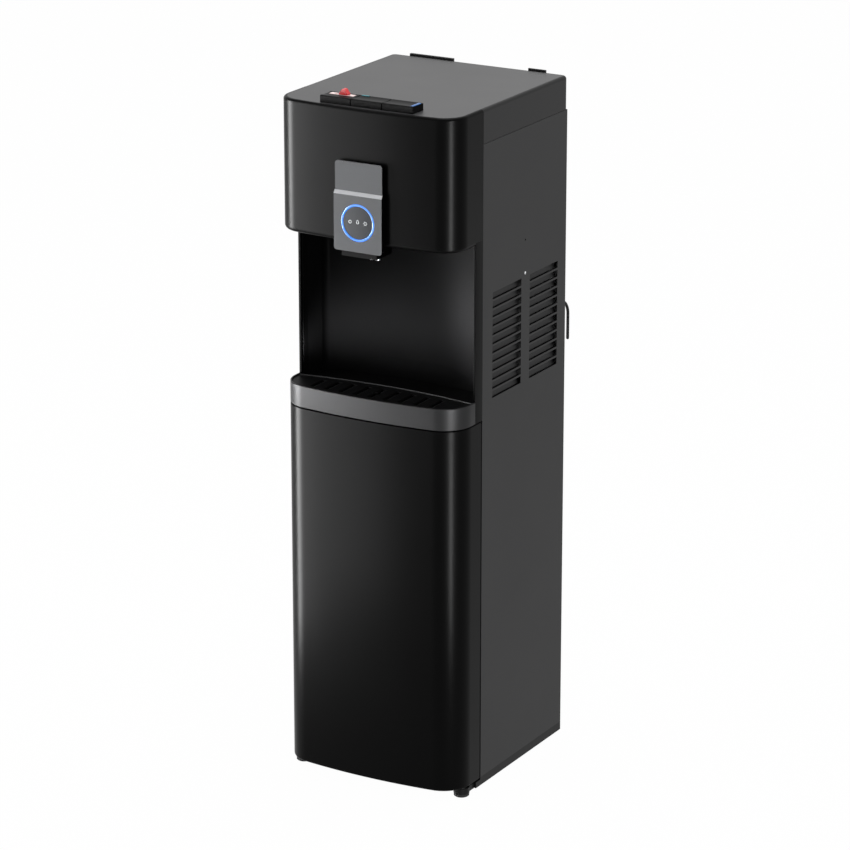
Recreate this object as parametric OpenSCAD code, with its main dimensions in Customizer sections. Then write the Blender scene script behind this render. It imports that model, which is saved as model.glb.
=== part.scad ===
// Floor-standing, bottom-load water dispenser.
// Millimetres. +Z up, front towards -Y, the user's right hand at +X.
// The origin is on the floor, at the centre of the overall width and depth.

/* [Cabinet] */
// Overall width over the side panels
body_w = 298; // [290:1:320]
// Depth from the back of the side panels to the front of the door
body_d = 336; // [330:1:380]
// Clearance under the base
foot_h = 5; // [4:1:9]
// Height of the base pan's visible edge
base_h = 13; // [12:1:20]
// Height of the door
door_h = 558.5; // [550:0.5:620]
// Height of the drip tray's front band
band_h = 32.5; // [28:0.5:44]
// Height of the open recess over the drip tray
recess_h = 231.5; // [200:0.5:260]
// Height of the nose over the recess
nose_h = 196; // [180:1:230]
// Height of the skirt round the top
skirt_h = 50; // [40:1:60]
// How far the nose stands in front of the door
nose_step = 4; // [2:0.5:8]
// Radius of the door's upright front corners
door_corner_r = 45; // [38:1:52]
// Radius of the nose's upright front corners
nose_corner_r = 37; // [30:1:48]
// How far the slight bow of the front faces falls back by the middles of the corners
bow_fall = 6.4; // [4:0.2:8]
// Depth at which front mouldings meet the side panels
seam_d = 253; // [240:1:258]
// Gap between pieces that show a seam
seam = 0.6; // [0.4:0.1:1]

/* [Walls] */
// Thickness of the moulded panels
moulding_t = 2.8; // [2.4:0.1:3.4]
// Thickness of the door skin
door_t = 2.5; // [2:0.1:3]
// Thickness of the steel sheet panels
sheet_t = 1; // [0.8:0.1:1.4]
// Width of the folded edges of the sheet panels
flange_w = 5; // [4:0.5:5]
// Width of the rounded rim round the top panel
rim_w = 5; // [4:0.5:7]
// Thickness of the top panel
top_t = 2.5; // [2:0.1:3.5]
// Radius of the nose's lower edge
nose_edge_r = 7; // [4:0.5:9]

/* [Louvres] */
// Number of louvres in a column
louvre_rows = 12; // [8:1:13]
// Height of one louvre opening
louvre_h = 10.5; // [8:0.5:11]
// Spacing of the louvres
louvre_pitch = 13.5; // [13:0.5:15]
// Length of one louvre
louvre_l = 86; // [60:1:90]
// Height of the lowest louvre's lower edge
louvre_z = 602; // [590:1:620]
// How far a louvre blade is pressed in
louvre_depth = 7.5; // [4:0.5:9]

/* [Spout and face plate] */
// Width of the face plate
plate_w = 79; // [70:1:90]
// Height of the face plate
plate_h = 130.5; // [120:0.5:150]
// Height of the plain upper field of the face plate
plate_field_h = 43; // [30:1:50]
// How far the face plate stands in front of the nose
plate_stand = 11; // [8:0.5:14]
// Distance from the top of the nose to the top of the face plate
plate_drop = 75; // [65:1:85]
// Outer diameter of the light ring
ring_d = 55; // [45:1:60]
// Width of the light ring
ring_w = 3.4; // [2:0.2:5]
// Diameter of one outlet nozzle
nozzle_d = 7; // [6:0.5:9]
// Spacing of the two nozzles
nozzle_gap = 9; // [8:0.5:14]
// How far the spout hangs below the nose
spout_drop = 18; // [12:1:30]

/* [Keys] */
// Width of the row of three keys
key_row_w = 152; // [120:1:170]
// Depth of a key from front to back
key_l = 30; // [24:1:34]
// How far the keys stand above the top panel
key_h = 10; // [6:0.5:14]
// Key travel
key_travel = 4; // [2:0.5:5]
// Gap between two keys
key_gap = 1.5; // [1:0.1:2]

/* [Drip tray] */
// How far the tray's curved back edge lies behind the front of the door
tray_l = 75; // [66:1:80]
// Radius of the tray's curved back edge
tray_back_r = 800; // [600:50:1200]
// Number of slots in the grille
slot_count = 9; // [5:1:10]
// Spacing of the slots
slot_pitch = 25; // [20:0.5:26]
// Width of one slot
slot_w = 3; // [2:0.5:5]

/* [Recess] */
// Depth of the recess's back wall from the back of the cabinet
recess_back_d = 178; // [165:1:190]
// Radius of the recess's upright back corners
recess_r = 12; // [8:1:16]
// How far the recess's curved back wall comes forward towards its corners
recess_bow = 30; // [24:1:36]
// Thickness of the recess liner
liner_t = 2.5; // [2:0.1:3]

/* [Bottle bay] */
// Largest bottle diameter that the bay takes
bottle_d = 270; // [250:1:272]
// Thickness of the bay liner
bay_t = 2; // [1.5:0.1:3]
// Diameter of the hinge pins
pin_d = 8; // [6:0.5:9]
// Distance from the side of the cabinet to the hinge axis
hinge_inset = 12; // [11:0.5:14]
// Distance from the front of the door back to the hinge axis
hinge_back = 47.5; // [44:0.5:52]
// Diameter of a foot
foot_d = 24; // [20:1:24]

/* [Back] */
// How far the rear hooks reach behind the cabinet
hook_reach = 38; // [30:1:45]
// Diameter of the hook rod
hook_rod_d = 4.5; // [4:0.5:6]
// Number of tube runs of the condenser
condenser_runs = 12; // [8:1:14]
// Diameter of the condenser tube
condenser_tube_d = 4.8; // [4:0.2:6]
// Number of stiffening wires on the condenser
condenser_wires = 14; // [6:1:20]

/* [Hidden] */
$fn = 96;

// ---- Levels above the floor ----
base_z = foot_h;
side_z = base_z + base_h;
door_gap = 1.5;
door_z = side_z - 2;
door_top_z = door_z + door_h;
band_z = door_top_z + door_gap;
band_top_z = band_z + band_h;
nose_z = band_top_z + recess_h;
top_z = nose_z + nose_h;
skirt_z = top_z - skirt_h;
rear_split_z = 548;

// ---- Planes from back to front: depth d counts forwards from the back of the side panels ----
nose_d = body_d + nose_step;
plate_d = nose_d + plate_stand;
rear_y = (plate_d - hook_reach) / 2;
half_w = body_w / 2;
inner_w = half_w - sheet_t;
function y_at(d) = rear_y - d;

// ---- Places that several pieces share ----
fit = 0.05;
slip = 0.3;
hinge_x = half_w - hinge_inset;
hinge_d = body_d - hinge_back;
tray_back_d = body_d - tray_l;
strip_t = 4;
strip_d = tray_back_d + 11.5;
band_end_d = strip_d + 0.4;
louvre_front_d = 223;
louvre_blade_t = 0.9;
recess_half = half_w - 5.7;
recess_waist = half_w - louvre_depth - louvre_blade_t - 2 * slip - liner_t;
liner_front_d = strip_d - 5;
recess_floor_z = band_top_z - 8;
pocket_z = band_z + 4;
bay_half = recess_half + 0.5;
bay_back_d = 22;
bay_floor_z = side_z + 3;
bay_top_z = 552;
shelf_z = bay_top_z + 0.3;
bracket_d = seam_d - 17;
bottle_axis_d = bay_back_d + bay_t + 3 + bottle_d / 2;
door_inner_d = bottle_axis_d + bottle_d / 2 + 7;
tank_shelf_z = nose_z + 13;
key_w = (key_row_w - 2 * key_gap) / 3;
key_front_d = nose_d - 14;
key_back_d = key_front_d - key_l;
key_mid_d = (key_front_d + key_back_d) / 2;
key_well = 0.8;
key_skirt = 6;
key_roof = 2.5;
guide_z = top_z - 17;
guide_t = 3;
stem_d = 6;
plate_top_z = top_z - plate_drop;
plate_z = plate_top_z - plate_h;
plate_step_z = plate_top_z - plate_field_h;
plate_t = 2;
field_step = 2.4;
housing_d = plate_d - plate_t;
ring_z = plate_z + 43;
spout_z = nose_z - spout_drop;
nozzle_y_d = nose_d - 37;
tank_axis_d = 100;
jacket_side = half_w + 1;
jacket_h = top_z - tank_shelf_z - 17;
cold_x = jacket_side / 2 + 12 - half_w;
hot_x = half_w - 65;
compressor_x = 22;
compressor_d = 90;
condenser_d = -14;
condenser_z = 350;
condenser_pitch = 44;
condenser_half = half_w - 41;
condenser_top_z = condenser_z + (condenser_runs - 1) * condenser_pitch;
pipe_x = -condenser_half - 8;
switch_z = top_z - 26;
switch_x = 66 - half_w;
switch_pitch = 20;
drain_x = half_w - 61;
drain_z = 290;
gland_z = 60;
probe_x = 35.8 - bay_half;
probe_d = 58;

// ---- Colours ----
black = [0.055, 0.055, 0.06];
satin_black = [0.075, 0.075, 0.08];
panel_grey = [0.16, 0.16, 0.165];
trim_grey = [0.33, 0.33, 0.34];
plate_silver = [0.62, 0.63, 0.64];
steel = [0.75, 0.76, 0.77];
copper = [0.72, 0.42, 0.26];
white_abs = [0.86, 0.86, 0.85];

// ================= Shared outlines =================

// Radius of the bow between two corners of radius r, where it falls back this far between them. It is
// rounded, so that the bow and its corners meet without a step.
function bow_radius(hw, r, fall = bow_fall) =
    round(50 * (2 * r + (hw - r) ^ 2 / fall + fall)) / 100;

// Depth of the corners' centres when the foremost point of the bow is at front_d.
function corner_d(front_d, r, fall = bow_fall) = front_d - r - fall;

// Depth of the bow's centre, in line with the corners it runs into.
function bow_d(front_d, hw, r, fall = bow_fall) =
    corner_d(front_d, r, fall) - sqrt((bow_radius(hw, r, fall) - r) ^ 2 - (hw - r) ^ 2);

// Cut lines between the bow and the right corner, and between that corner and the side: they run
// out from the corner's centre [0] to [1] and [2].
function plan_cuts(front_d, hw, r, fall = bow_fall) =
    let (
        c = [hw - r, y_at(corner_d(front_d, r, fall))],
        reach = c - [0, y_at(bow_d(front_d, hw, r, fall))]
    )
    [c, c + 2 * (r + fall) * reach / norm(reach), c + [2 * (r + fall), 0]];

// A circular sector, as two radii and an arc.
module sector(r, a0, a1, fn) {
    far = 1.2 * r / cos((a1 - a0) / 2);
    intersection() {
        circle(r, $fn = fn);
        polygon([[0, 0], [far * cos(a0), far * sin(a0)], [far * cos(a1), far * sin(a1)]]);
    }
}

// Moves to a depth in a coarse step and a fine one, which keeps all its digits.
module at_depth(d) {
    coarse = round(y_at(d));
    translate([0, coarse, 0]) translate([0, y_at(d) - coarse, 0]) children();
}

// Parts of the plane that hold the right corner and the bow.
module corner_area(cuts) {
    polygon([cuts[0], cuts[1], [cuts[2].x, cuts[1].y], cuts[2]]);
}

module bow_area(cuts) {
    polygon([cuts[0], cuts[1], [-cuts[1].x, cuts[1].y], [-cuts[0].x, cuts[0].y]]);
}

// Plan of a cabinet front: straight sides, round corners and a slightly bowed face. The plan is
// drawn this much inside the face whose sides, front and corner radius are given.
module bowed_plan(hw, front_d, back_d, r, inset = 0, fall = bow_fall) {
    cuts = plan_cuts(front_d, hw, r, fall);
    cd = corner_d(front_d, r, fall);
    bow_r = bow_radius(hw, r, fall);
    translate([inset - hw, y_at(cd)]) square([2 * (hw - inset), cd - back_d]);
    for (s = [0, 1])
        mirror([s, 0])
            intersection() {
                translate(cuts[0]) circle(r - inset);
                corner_area(cuts);
            }
    intersection() {
        at_depth(bow_d(front_d, hw, r, fall)) circle(bow_r - inset, $fn = 256);
        bow_area(cuts);
    }
}

// Carries a wall section round that plan. In the section, x counts inwards from the outer face, y is up.
module bowed_wall(hw, front_d, back_d, r) {
    cuts = plan_cuts(front_d, hw, r);
    cd = corner_d(front_d, r);
    tall = 2 * top_z;
    for (s = [0, 1])
        mirror([s, 0, 0]) {
            translate([hw, y_at(cd), 0]) rotate([90, 0, 180]) linear_extrude(cd - back_d) children();
            intersection() {
                translate([cuts[0].x, cuts[0].y, 0])
                    rotate([0, 0, 180]) rotate_extrude() translate([r, 0]) mirror([1, 0]) children();
                linear_extrude(tall) corner_area(cuts);
            }
        }
    intersection() {
        at_depth(bow_d(front_d, hw, r))
            rotate_extrude($fn = 256) translate([bow_radius(hw, r), 0]) mirror([1, 0]) children();
        linear_extrude(tall) bow_area(cuts);
    }
}

// Removes a round of radius r from a section's corner, which lies at the origin.
module corner_round(r) {
    difference() {
        translate([-1, -1]) square([r + 1, r + 1]);
        translate([r, r]) circle(r);
    }
}

// Upright rectangle with round corners, centred in x, its lower edge at y = 0.
module round_rect(w, h, r) {
    translate([-w / 2 + r, 0]) square([w - 2 * r, h]);
    translate([-w / 2, r]) square([w, h - 2 * r]);
    for (q = [0:3])
        translate([(q == 0 || q == 3 ? 1 : -1) * (w / 2 - r), q < 2 ? h - r : r]) sector(r, 90 * q, 90 * q + 90, 96);
}

// Plate in the XZ plane made from a 2D outline, from depth d0 to the more forward depth d1.
module upright_plate(d0, d1) {
    translate([0, y_at(d0), 0]) rotate([90, 0, 0]) linear_extrude(d1 - d0) children();
}

// Box from x0..x1, depth d0..d1 and z0..z1.
module box(x0, x1, d0, d1, z0, z1) {
    translate([x0, y_at(d1), z0]) cube([x1 - x0, d1 - d0, z1 - z0]);
}

// Round bar along +Z, or along the depth when lying = true (towards the back).
module bar(x, d, z, r, l, lying = false) {
    translate([x, y_at(d), z]) rotate([lying ? -90 : 0, 0, 0]) cylinder(r = r, h = l);
}

// Rigid pipe through the points of a route, with a round bend at each corner.
module pipe(route, r, bend_r) {
    n = len(route);
    way = [for (i = [0:n - 2]) (route[i + 1] - route[i]) / norm(route[i + 1] - route[i])];
    turn = [for (i = [0:n - 1]) i == 0 || i == n - 1 ? 0 : acos(way[i - 1] * way[i])];
    for (i = [0:n - 2]) {
        cut_a = bend_r * tan(turn[i] / 2);
        cut_b = bend_r * tan(turn[i + 1] / 2);
        translate(route[i] + cut_a * way[i])
            rotate([0, acos(way[i].z), atan2(way[i].y, way[i].x)])
                cylinder(r = r, h = norm(route[i + 1] - route[i]) - cut_a - cut_b);
    }
    if (n > 2)
        for (i = [1:n - 2]) {
            u = way[i - 1];
            side = way[i] - (u * way[i]) * u;
            out = -side / norm(side);
            axis = cross(out, u);
            c = route[i] - bend_r * tan(turn[i] / 2) * u - bend_r * out;
            multmatrix([
                [out.x, u.x, axis.x, c.x], [out.y, u.y, axis.y, c.y], [out.z, u.z, axis.z, c.z], [0, 0, 0, 1]
            ])
                rotate_extrude(angle = turn[i]) translate([bend_r, 0]) circle(r);
        }
}

// Rod or tube end closed by a half ball that points along +Z.
module half_ball(r) {
    rotate_extrude() intersection() {
        circle(r);
        square(r);
    }
}

// Round wire wound into a coil about +Z, starting at z = 0.
module helix(r, wire_r, pitch, turns, steps = 20, sides = 6) {
    rings = [for (i = [0:turns * steps])
        let (a = 360 * i / steps, slope = atan2(pitch, 2 * PI * r))
        [for (k = [0:sides - 1])
            let (c = 360 * k / sides, u = wire_r * cos(c), v = wire_r * sin(c))
            [(r + u) * cos(a) + v * sin(slope) * sin(a), (r + u) * sin(a) - v * sin(slope) * cos(a),
                pitch * i / steps + v * cos(slope)]]];
    n = len(rings);
    points = [for (ring = rings) each ring];
    side_faces = [for (i = [0:n - 2], k = [0:sides - 1])
        let (k2 = (k + 1) % sides)
        [i * sides + k, (i + 1) * sides + k, (i + 1) * sides + k2, i * sides + k2]];
    ends = [[for (k = [0:sides - 1]) k], [for (k = [sides - 1:-1:0]) (n - 1) * sides + k]];
    polyhedron(points, concat(side_faces, ends));
}

// ================= Base and feet =================

// Plan of the base pan: the cabinet's foot print, a front lip and a round ear at each front corner.
module base_plan(inset) {
    translate([-half_w + inset, y_at(seam_d) + inset])
        square([body_w - 2 * inset, seam_d - 2 * inset]);
}

module base_pan() {
    lip_d = seam_d + 13;
    ear_z = door_z - 2;
    color(black) difference() {
        union() {
            translate([0, 0, base_z]) linear_extrude(base_h) base_plan(0);
            box(-half_w, half_w, seam_d - 1, lip_d, base_z, ear_z);
            for (s = [-1, 1]) {
                bar(s * hinge_x, hinge_d, base_z, foot_d / 2, ear_z - base_z);
                box(s * hinge_x - 9, s * hinge_x + 9, lip_d - 1, hinge_d, base_z, ear_z);
            }
        }
        translate([0, 0, base_z + 2]) linear_extrude(base_h) base_plan(3);
        for (s = [-1, 1]) {
            bar(s * hinge_x, hinge_d, base_z - 1, 4 + fit, 7);
            bar(s * (half_w - 22), 24, base_z - 1, 4 + fit, 4);
        }
        bar(hinge_x, hinge_d, base_z + 6, pin_d / 2 + fit, ear_z);
    }
    // Stiffening ribs across the pan's floor
    color(black)
        for (d = [60, 125, 190])
            box(-half_w + 2.9, half_w - 2.9, d, d + 2, base_z + 1.9, bay_floor_z - bay_t - 0.2);
}

module levelling_foot(x) {
    color(black) {
        bar(x, hinge_d, 0, foot_d / 2 - 2, 1.2);
        bar(x, hinge_d, 1.2, foot_d / 2 - 0.5, foot_h - 1.4);
        bar(x, hinge_d, foot_h - 0.2, 4, 5.7);
    }
}

module front_left_foot() {
    levelling_foot(-hinge_x);
}

module front_right_foot() {
    levelling_foot(hinge_x);
}

module rear_feet() {
    color(black)
        for (s = [-1, 1]) {
            bar(s * (half_w - 22), 24, 0, foot_d / 2 - 2, foot_h);
            bar(s * (half_w - 22), 24, foot_h - 0.2, 4, 2.2);
        }
}

// ================= Sheet panels =================

// One pressed louvre blade: a return inwards from the opening's upper edge, then a sloping blade.
// The section has x = 0 on the panel's outer face and y = 0 at the opening's upper edge.
module louvre_section() {
    lower_depth = louvre_depth - 3.2;
    deepest = louvre_depth + louvre_blade_t;
    polygon([
        [-sheet_t + 0.2, 0], [-louvre_depth, -0.8], [-lower_depth, -louvre_h],
        [-lower_depth - louvre_blade_t, -louvre_h], [-deepest, -0.6],
        [-deepest + 0.3, 0.1], [-sheet_t + 0.2, louvre_blade_t]
    ]);
}

// Places its children at each louvre's upper front corner: the blade then runs backwards.
module at_louvres() {
    for (d = [louvre_front_d, louvre_front_d / 2], row = [0:louvre_rows - 1])
        translate([half_w, y_at(d), louvre_z + louvre_h + row * louvre_pitch]) children();
}

module right_panel_shape() {
    hole_d = 126;
    screw_z = louvre_z + louvre_rows * louvre_pitch + 3;
    difference() {
        union() {
            box(half_w - sheet_t, half_w, 0, seam_d - seam, side_z, skirt_z - seam);
            box(half_w - flange_w, half_w, 0, sheet_t, side_z, skirt_z - seam);
            box(half_w - flange_w, half_w, seam_d - seam - sheet_t, seam_d - seam, side_z, door_top_z - 2);
        }
        at_louvres() translate([-2 * sheet_t, 0, -louvre_h]) cube([3 * sheet_t, louvre_l, louvre_h]);
        translate([half_w - 2, y_at(hole_d), screw_z + 50]) rotate([0, 90, 0]) cylinder(d = 3, h = 4);
        translate([half_w - 2, y_at(hole_d), screw_z]) rotate([0, 90, 0]) cylinder(d = 3, h = 4);
    }
    at_louvres()
        rotate([90, 0, 0])
            mirror([0, 0, 1]) linear_extrude(louvre_l - 1) louvre_section();
}

module right_side_panel() {
    color(panel_grey) right_panel_shape();
}

module left_side_panel() {
    color(panel_grey) mirror([1, 0, 0]) right_panel_shape();
}

module case_screws() {
    screw_z = louvre_z + louvre_rows * louvre_pitch + 3;
    color(steel)
        for (s = [0, 1])
            mirror([s, 0, 0])
                translate([half_w, y_at(126), screw_z])
                    rotate([0, 90, 0]) {
                        cylinder(d = 4.6, h = 0.6);
                        translate([0, 0, -6]) cylinder(d = 2.9, h = 6.1);
                    }
}

// Vent slots of a rear panel: rows of upright slots.
module rear_slots(z, rows) {
    for (row = [0:rows - 1], x = [-66:12:66])
        translate([x - 2.5, y_at(3), z + row * 34]) cube([5, 5, 26]);
}

module lower_rear_panel() {
    color(panel_grey) difference() {
        box(-inner_w + slip, inner_w - slip, sheet_t, 2 * sheet_t, side_z, rear_split_z);
        bar(drain_x, 4, drain_z, 11 + slip, 8, true);
        bar(-drain_x, 4, gland_z, 8 + slip, 8, true);
        bar(pipe_x - 12, 4, condenser_z, 4, 8, true);
    }
}

module upper_rear_panel() {
    tongue = half_w - rim_w - 5;
    color(panel_grey) difference() {
        union() {
            box(-inner_w + slip, inner_w - slip, sheet_t, 2 * sheet_t, rear_split_z + 1, skirt_z - seam);
            box(-tongue, tongue, sheet_t, 2 * sheet_t, skirt_z - 1, skirt_z + 6);
        }
        rear_slots(600, 3);
        bar(pipe_x, 4, condenser_top_z, 4, 8, true);
    }
}

// ================= Nose, top and recess =================

// Section of the nose wall: rounded rim with a ledge for the top panel, wall, rounded lower edge.
module nose_section() {
    ledge_w = 2.5;
    ledge_t = 2;
    difference() {
        union() {
            translate([0, nose_z]) square([moulding_t, nose_h]);
            translate([0, top_z - top_t]) square([rim_w, top_t]);
            translate([0, top_z - top_t - ledge_t]) square([rim_w + ledge_w, ledge_t]);
            translate([0, nose_z]) square([12, moulding_t]);
        }
        translate([0, nose_z]) corner_round(nose_edge_r);
        translate([0, top_z]) mirror([0, 1]) corner_round(rim_w);
    }
}

// Plan of the opening in the nose that the spout block passes through.
module spout_plan(clearance) {
    front = housing_d - 2;
    back = nozzle_y_d - 17;
    polygon([
        [-29 - clearance, y_at(front)], [29 + clearance, y_at(front)], [27 + clearance, y_at(back + 16)],
        [14 + clearance, y_at(back - clearance)], [-14 - clearance, y_at(back - clearance)],
        [-27 - clearance, y_at(back + 16)]
    ]);
}

module front_panel() {
    floor_edge = 10;
    color(satin_black) difference() {
        union() {
            bowed_wall(half_w, nose_d, seam_d, nose_corner_r) nose_section();
            // Underside of the nose
            translate([0, 0, nose_z])
                linear_extrude(moulding_t)
                    bowed_plan(half_w, nose_d, liner_front_d, nose_corner_r, floor_edge);
            // Strips beside the recess, each with a lip over the liner's front edge
            for (s = [0, 1])
                mirror([s, 0, 0]) {
                    box(recess_half + liner_t + slip, half_w, seam_d, strip_d, band_z, nose_z + 9);
                    box(half_w - strip_t, half_w, liner_front_d + slip, strip_d, band_z, nose_z + 9);
                }
        }
        // Room for the recess liner behind the nose's lower edge
        translate([0, 0, nose_z - 1])
            linear_extrude(moulding_t + 2) recess_plan(-liner_t - slip, liner_front_d + slip);
        // Window for the spout block
        translate([0, 0, nose_z - 1]) linear_extrude(20) spout_plan(0.4);
        upright_plate(nose_d - 8, nose_d + 8)
            translate([0, nose_z - 1]) round_rect(plate_w - 10, plate_top_z - nose_z - 4, 4);
    }
}

// Section of the skirt: the same rim and ledge as the nose, on a lower wall.
module skirt_section() {
    ledge_w = 2.5;
    ledge_t = 2;
    difference() {
        union() {
            translate([0, skirt_z]) square([moulding_t, skirt_h]);
            translate([0, top_z - top_t]) square([rim_w, top_t]);
            translate([0, top_z - top_t - ledge_t]) square([rim_w + ledge_w, ledge_t]);
        }
        translate([0, top_z]) mirror([0, 1]) corner_round(rim_w);
    }
}

module top_skirt() {
    r = rim_w + 4;
    back_d = -2.5;
    color(satin_black) difference() {
        union() {
            for (s = [0, 1])
                mirror([s, 0, 0]) {
                    translate([half_w, y_at(back_d + r), 0])
                        rotate([90, 0, 0])
                            linear_extrude(seam_d - seam - back_d - r) mirror([1, 0]) skirt_section();
                    translate([half_w - r, y_at(back_d + r), 0])
                        rotate_extrude(angle = 90) translate([r, 0]) mirror([1, 0]) skirt_section();
                }
            translate([-half_w + r, y_at(back_d), 0])
                rotate([90, 0, 90]) linear_extrude(body_w - 2 * r) mirror([1, 0]) skirt_section();
        }
        // Opening for the rear switches
        box(switch_x - 32, switch_x + 32, back_d - 1, moulding_t + 1, switch_z - 12, switch_z + 12);
    }
    // Tabs that hook the skirt over the top edge of the side panels
    color(satin_black)
        for (x = [-inner_w + slip, inner_w - slip - 1.6], d = [40, 120, 200])
            box(x, x + 1.6, d, d + 20, skirt_z - 10, skirt_z + 6);
}

module top_panel() {
    gap = 0.3;
    edge = rim_w + gap;
    hw = half_w - edge;
    r = 4 - gap;
    back = -2.5 + edge;
    color([0.13, 0.13, 0.135]) difference() {
        union() {
            translate([0, 0, top_z - top_t])
                linear_extrude(top_t) {
                    bowed_plan(half_w, nose_d, back + r, nose_corner_r, edge);
                    translate([-hw + r, y_at(back + r)]) square([2 * hw - 2 * r, r]);
                    translate([hw - r, y_at(back + r)]) sector(r, 0, 90, 96);
                    translate([-hw + r, y_at(back + r)]) sector(r, 90, 180, 96);
                }
            // Stiffening ribs under the panel
            for (x = [-90, -30, 30, 90])
                box(x - 1, x + 1, 12, key_back_d - 12, top_z - top_t - 5, top_z - top_t + 0.1);
        }
        box(-key_row_w / 2 - key_well, key_row_w / 2 + key_well, key_back_d - key_well, key_front_d + key_well,
            top_z - 10, top_z + 1);
    }
}

// Plan of the recess: a bowed back wall between round corners, and sides that step out in front of
// the louvres. It is the plan of a cabinet front, turned to face the back.
module recess_plan(inset, front_d) {
    mirrored_back_d = 2 * rear_y - recess_back_d;
    mirrored_front_d = 2 * rear_y - front_d;
    step = [[0, louvre_front_d + 3], [recess_half - recess_waist, seam_d + 3]];
    mirror([0, 1])
        bowed_plan(recess_waist, mirrored_back_d, mirrored_front_d, recess_r, inset, recess_bow);
    for (s = [0, 1])
        mirror([s, 0])
            translate([recess_waist - inset, 0])
                polygon([
                    [-1, y_at(step[0].y)], [step[0].x, y_at(step[0].y)], [step[1].x, y_at(step[1].y)],
                    [step[1].x, y_at(front_d)], [-1, y_at(front_d)]
                ]);
}

module recess_liner() {
    front_d = liner_front_d;
    ceiling_z = nose_z + moulding_t + 0.2;
    color(satin_black) difference() {
        union() {
            // Walls
            translate([0, 0, pocket_z])
                linear_extrude(ceiling_z + liner_t - pocket_z)
                    recess_plan(-liner_t, front_d);
            // Pocket floor that carries the drip tray
            translate([0, 0, pocket_z])
                linear_extrude(liner_t)
                    bowed_plan(half_w, body_d, front_d - 2, door_corner_r, 5);
        }
        // Open recess over its floor
        translate([0, 0, recess_floor_z])
            linear_extrude(ceiling_z - recess_floor_z) recess_plan(0, front_d + 1);
        // Tray pocket, in front of the step that follows the tray's curved back
        translate([0, 0, pocket_z + liner_t])
            linear_extrude(ceiling_z - pocket_z)
                intersection() {
                    recess_plan(0, front_d + 40);
                    translate([0, y_at(tray_back_d + tray_back_r - 0.8)]) circle(tray_back_r, $fn = 256);
                }
        // Hollow under the recess floor
        translate([0, 0, pocket_z - 1])
            linear_extrude(recess_floor_z - liner_t - pocket_z + 1)
                difference() {
                    recess_plan(1, front_d);
                    translate([0, y_at(tray_back_d + tray_back_r - 0.8)])
                        circle(tray_back_r + liner_t, $fn = 256);
                }
    }
}

// ================= Spout, face plate and display =================

module spout_block() {
    field_d = housing_d - field_step;
    neck_w = plate_w - 11;
    socket_z = spout_z + 8;
    color(black) difference() {
        union() {
            upright_plate(nose_d + 0.2, field_d)
                translate([0, plate_z + 1.5]) round_rect(plate_w - 3, plate_h - 3, 4);
            upright_plate(field_d - 1, housing_d)
                translate([0, plate_z + 1.5]) round_rect(plate_w - 3, plate_step_z - 5 - plate_z - 1.5, 4);
            // Neck through the nose's window
            upright_plate(nose_d - moulding_t - 3, nose_d + 0.3)
                translate([0, nose_z + 2]) round_rect(neck_w, plate_top_z - nose_z - 8.5, 3);
            translate([0, 0, spout_z]) linear_extrude(spout_drop + 10) spout_plan(0);
        }
        // Seat of the light ring and window
        upright_plate(housing_d - 3.2, housing_d + 1) translate([0, ring_z]) circle(ring_d / 2 + 1);
        // Sockets and water ways of the nozzles
        for (x = [-nozzle_gap / 2, nozzle_gap / 2]) {
            bar(x, nozzle_y_d, spout_z - 1, nozzle_d / 2 + fit, 9);
            bar(x, nozzle_y_d, socket_z - 1, 2, spout_drop + 10);
        }
    }
}

module nozzles() {
    color(steel)
        for (x = [-nozzle_gap / 2, nozzle_gap / 2])
            difference() {
                union() {
                    bar(x, nozzle_y_d, spout_z - 8, nozzle_d / 2, 15.6);
                    bar(x, nozzle_y_d, spout_z - 1.6, nozzle_d / 2 + 0.7, 1.4);
                }
                bar(x, nozzle_y_d, spout_z - 9, nozzle_d / 2 - 1.1, 20);
            }
}

module face_plate_upper() {
    d1 = housing_d - field_step + 1.2;
    color(plate_silver)
        intersection() {
            upright_plate(housing_d - field_step, d1)
                translate([0, plate_step_z]) square([plate_w - 1.6, 2 * plate_field_h], center = true);
            upright_plate(0, 2 * plate_d)
                translate([0, plate_z]) round_rect(plate_w - 1.6, plate_h, 5);
            box(-plate_w, plate_w, 0, 2 * plate_d, plate_step_z + 0.1, top_z);
        }
}

module face_plate_lower() {
    back_d = housing_d;
    bevel_h = 5;
    color(plate_silver) difference() {
        intersection() {
            // Side section: flat field with a bevel that falls back to the upper field
            translate([-plate_w / 2, 0, 0])
                rotate([90, 0, 90])
                    linear_extrude(plate_w)
                        polygon([
                            [y_at(back_d), plate_z - 1], [y_at(plate_d), plate_z - 1],
                            [y_at(plate_d), plate_step_z - bevel_h],
                            [y_at(back_d - field_step + 1.2), plate_step_z],
                            [y_at(back_d - field_step), plate_step_z],
                            [y_at(back_d - field_step), plate_step_z - bevel_h + 0.3],
                            [y_at(back_d), plate_step_z - bevel_h + 0.3]
                        ]);
            upright_plate(0, 2 * plate_d)
                translate([0, plate_z]) round_rect(plate_w, 2 * plate_h, 5);
        }
        upright_plate(back_d - 1, plate_d + 1) translate([0, ring_z]) circle(ring_d / 2 + 0.1);
    }
}

module light_ring() {
    color([0.25, 0.55, 0.95])
        difference() {
            upright_plate(housing_d - 3.1, plate_d) translate([0, ring_z]) circle(ring_d / 2);
            upright_plate(housing_d - 4, plate_d + 1) translate([0, ring_z]) circle(ring_d / 2 - ring_w);
        }
}

module display_window() {
    color([0.30, 0.31, 0.33])
        upright_plate(housing_d - 3.1, plate_d - 0.3)
            translate([0, ring_z]) circle(ring_d / 2 - ring_w - 0.1);
}

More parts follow.
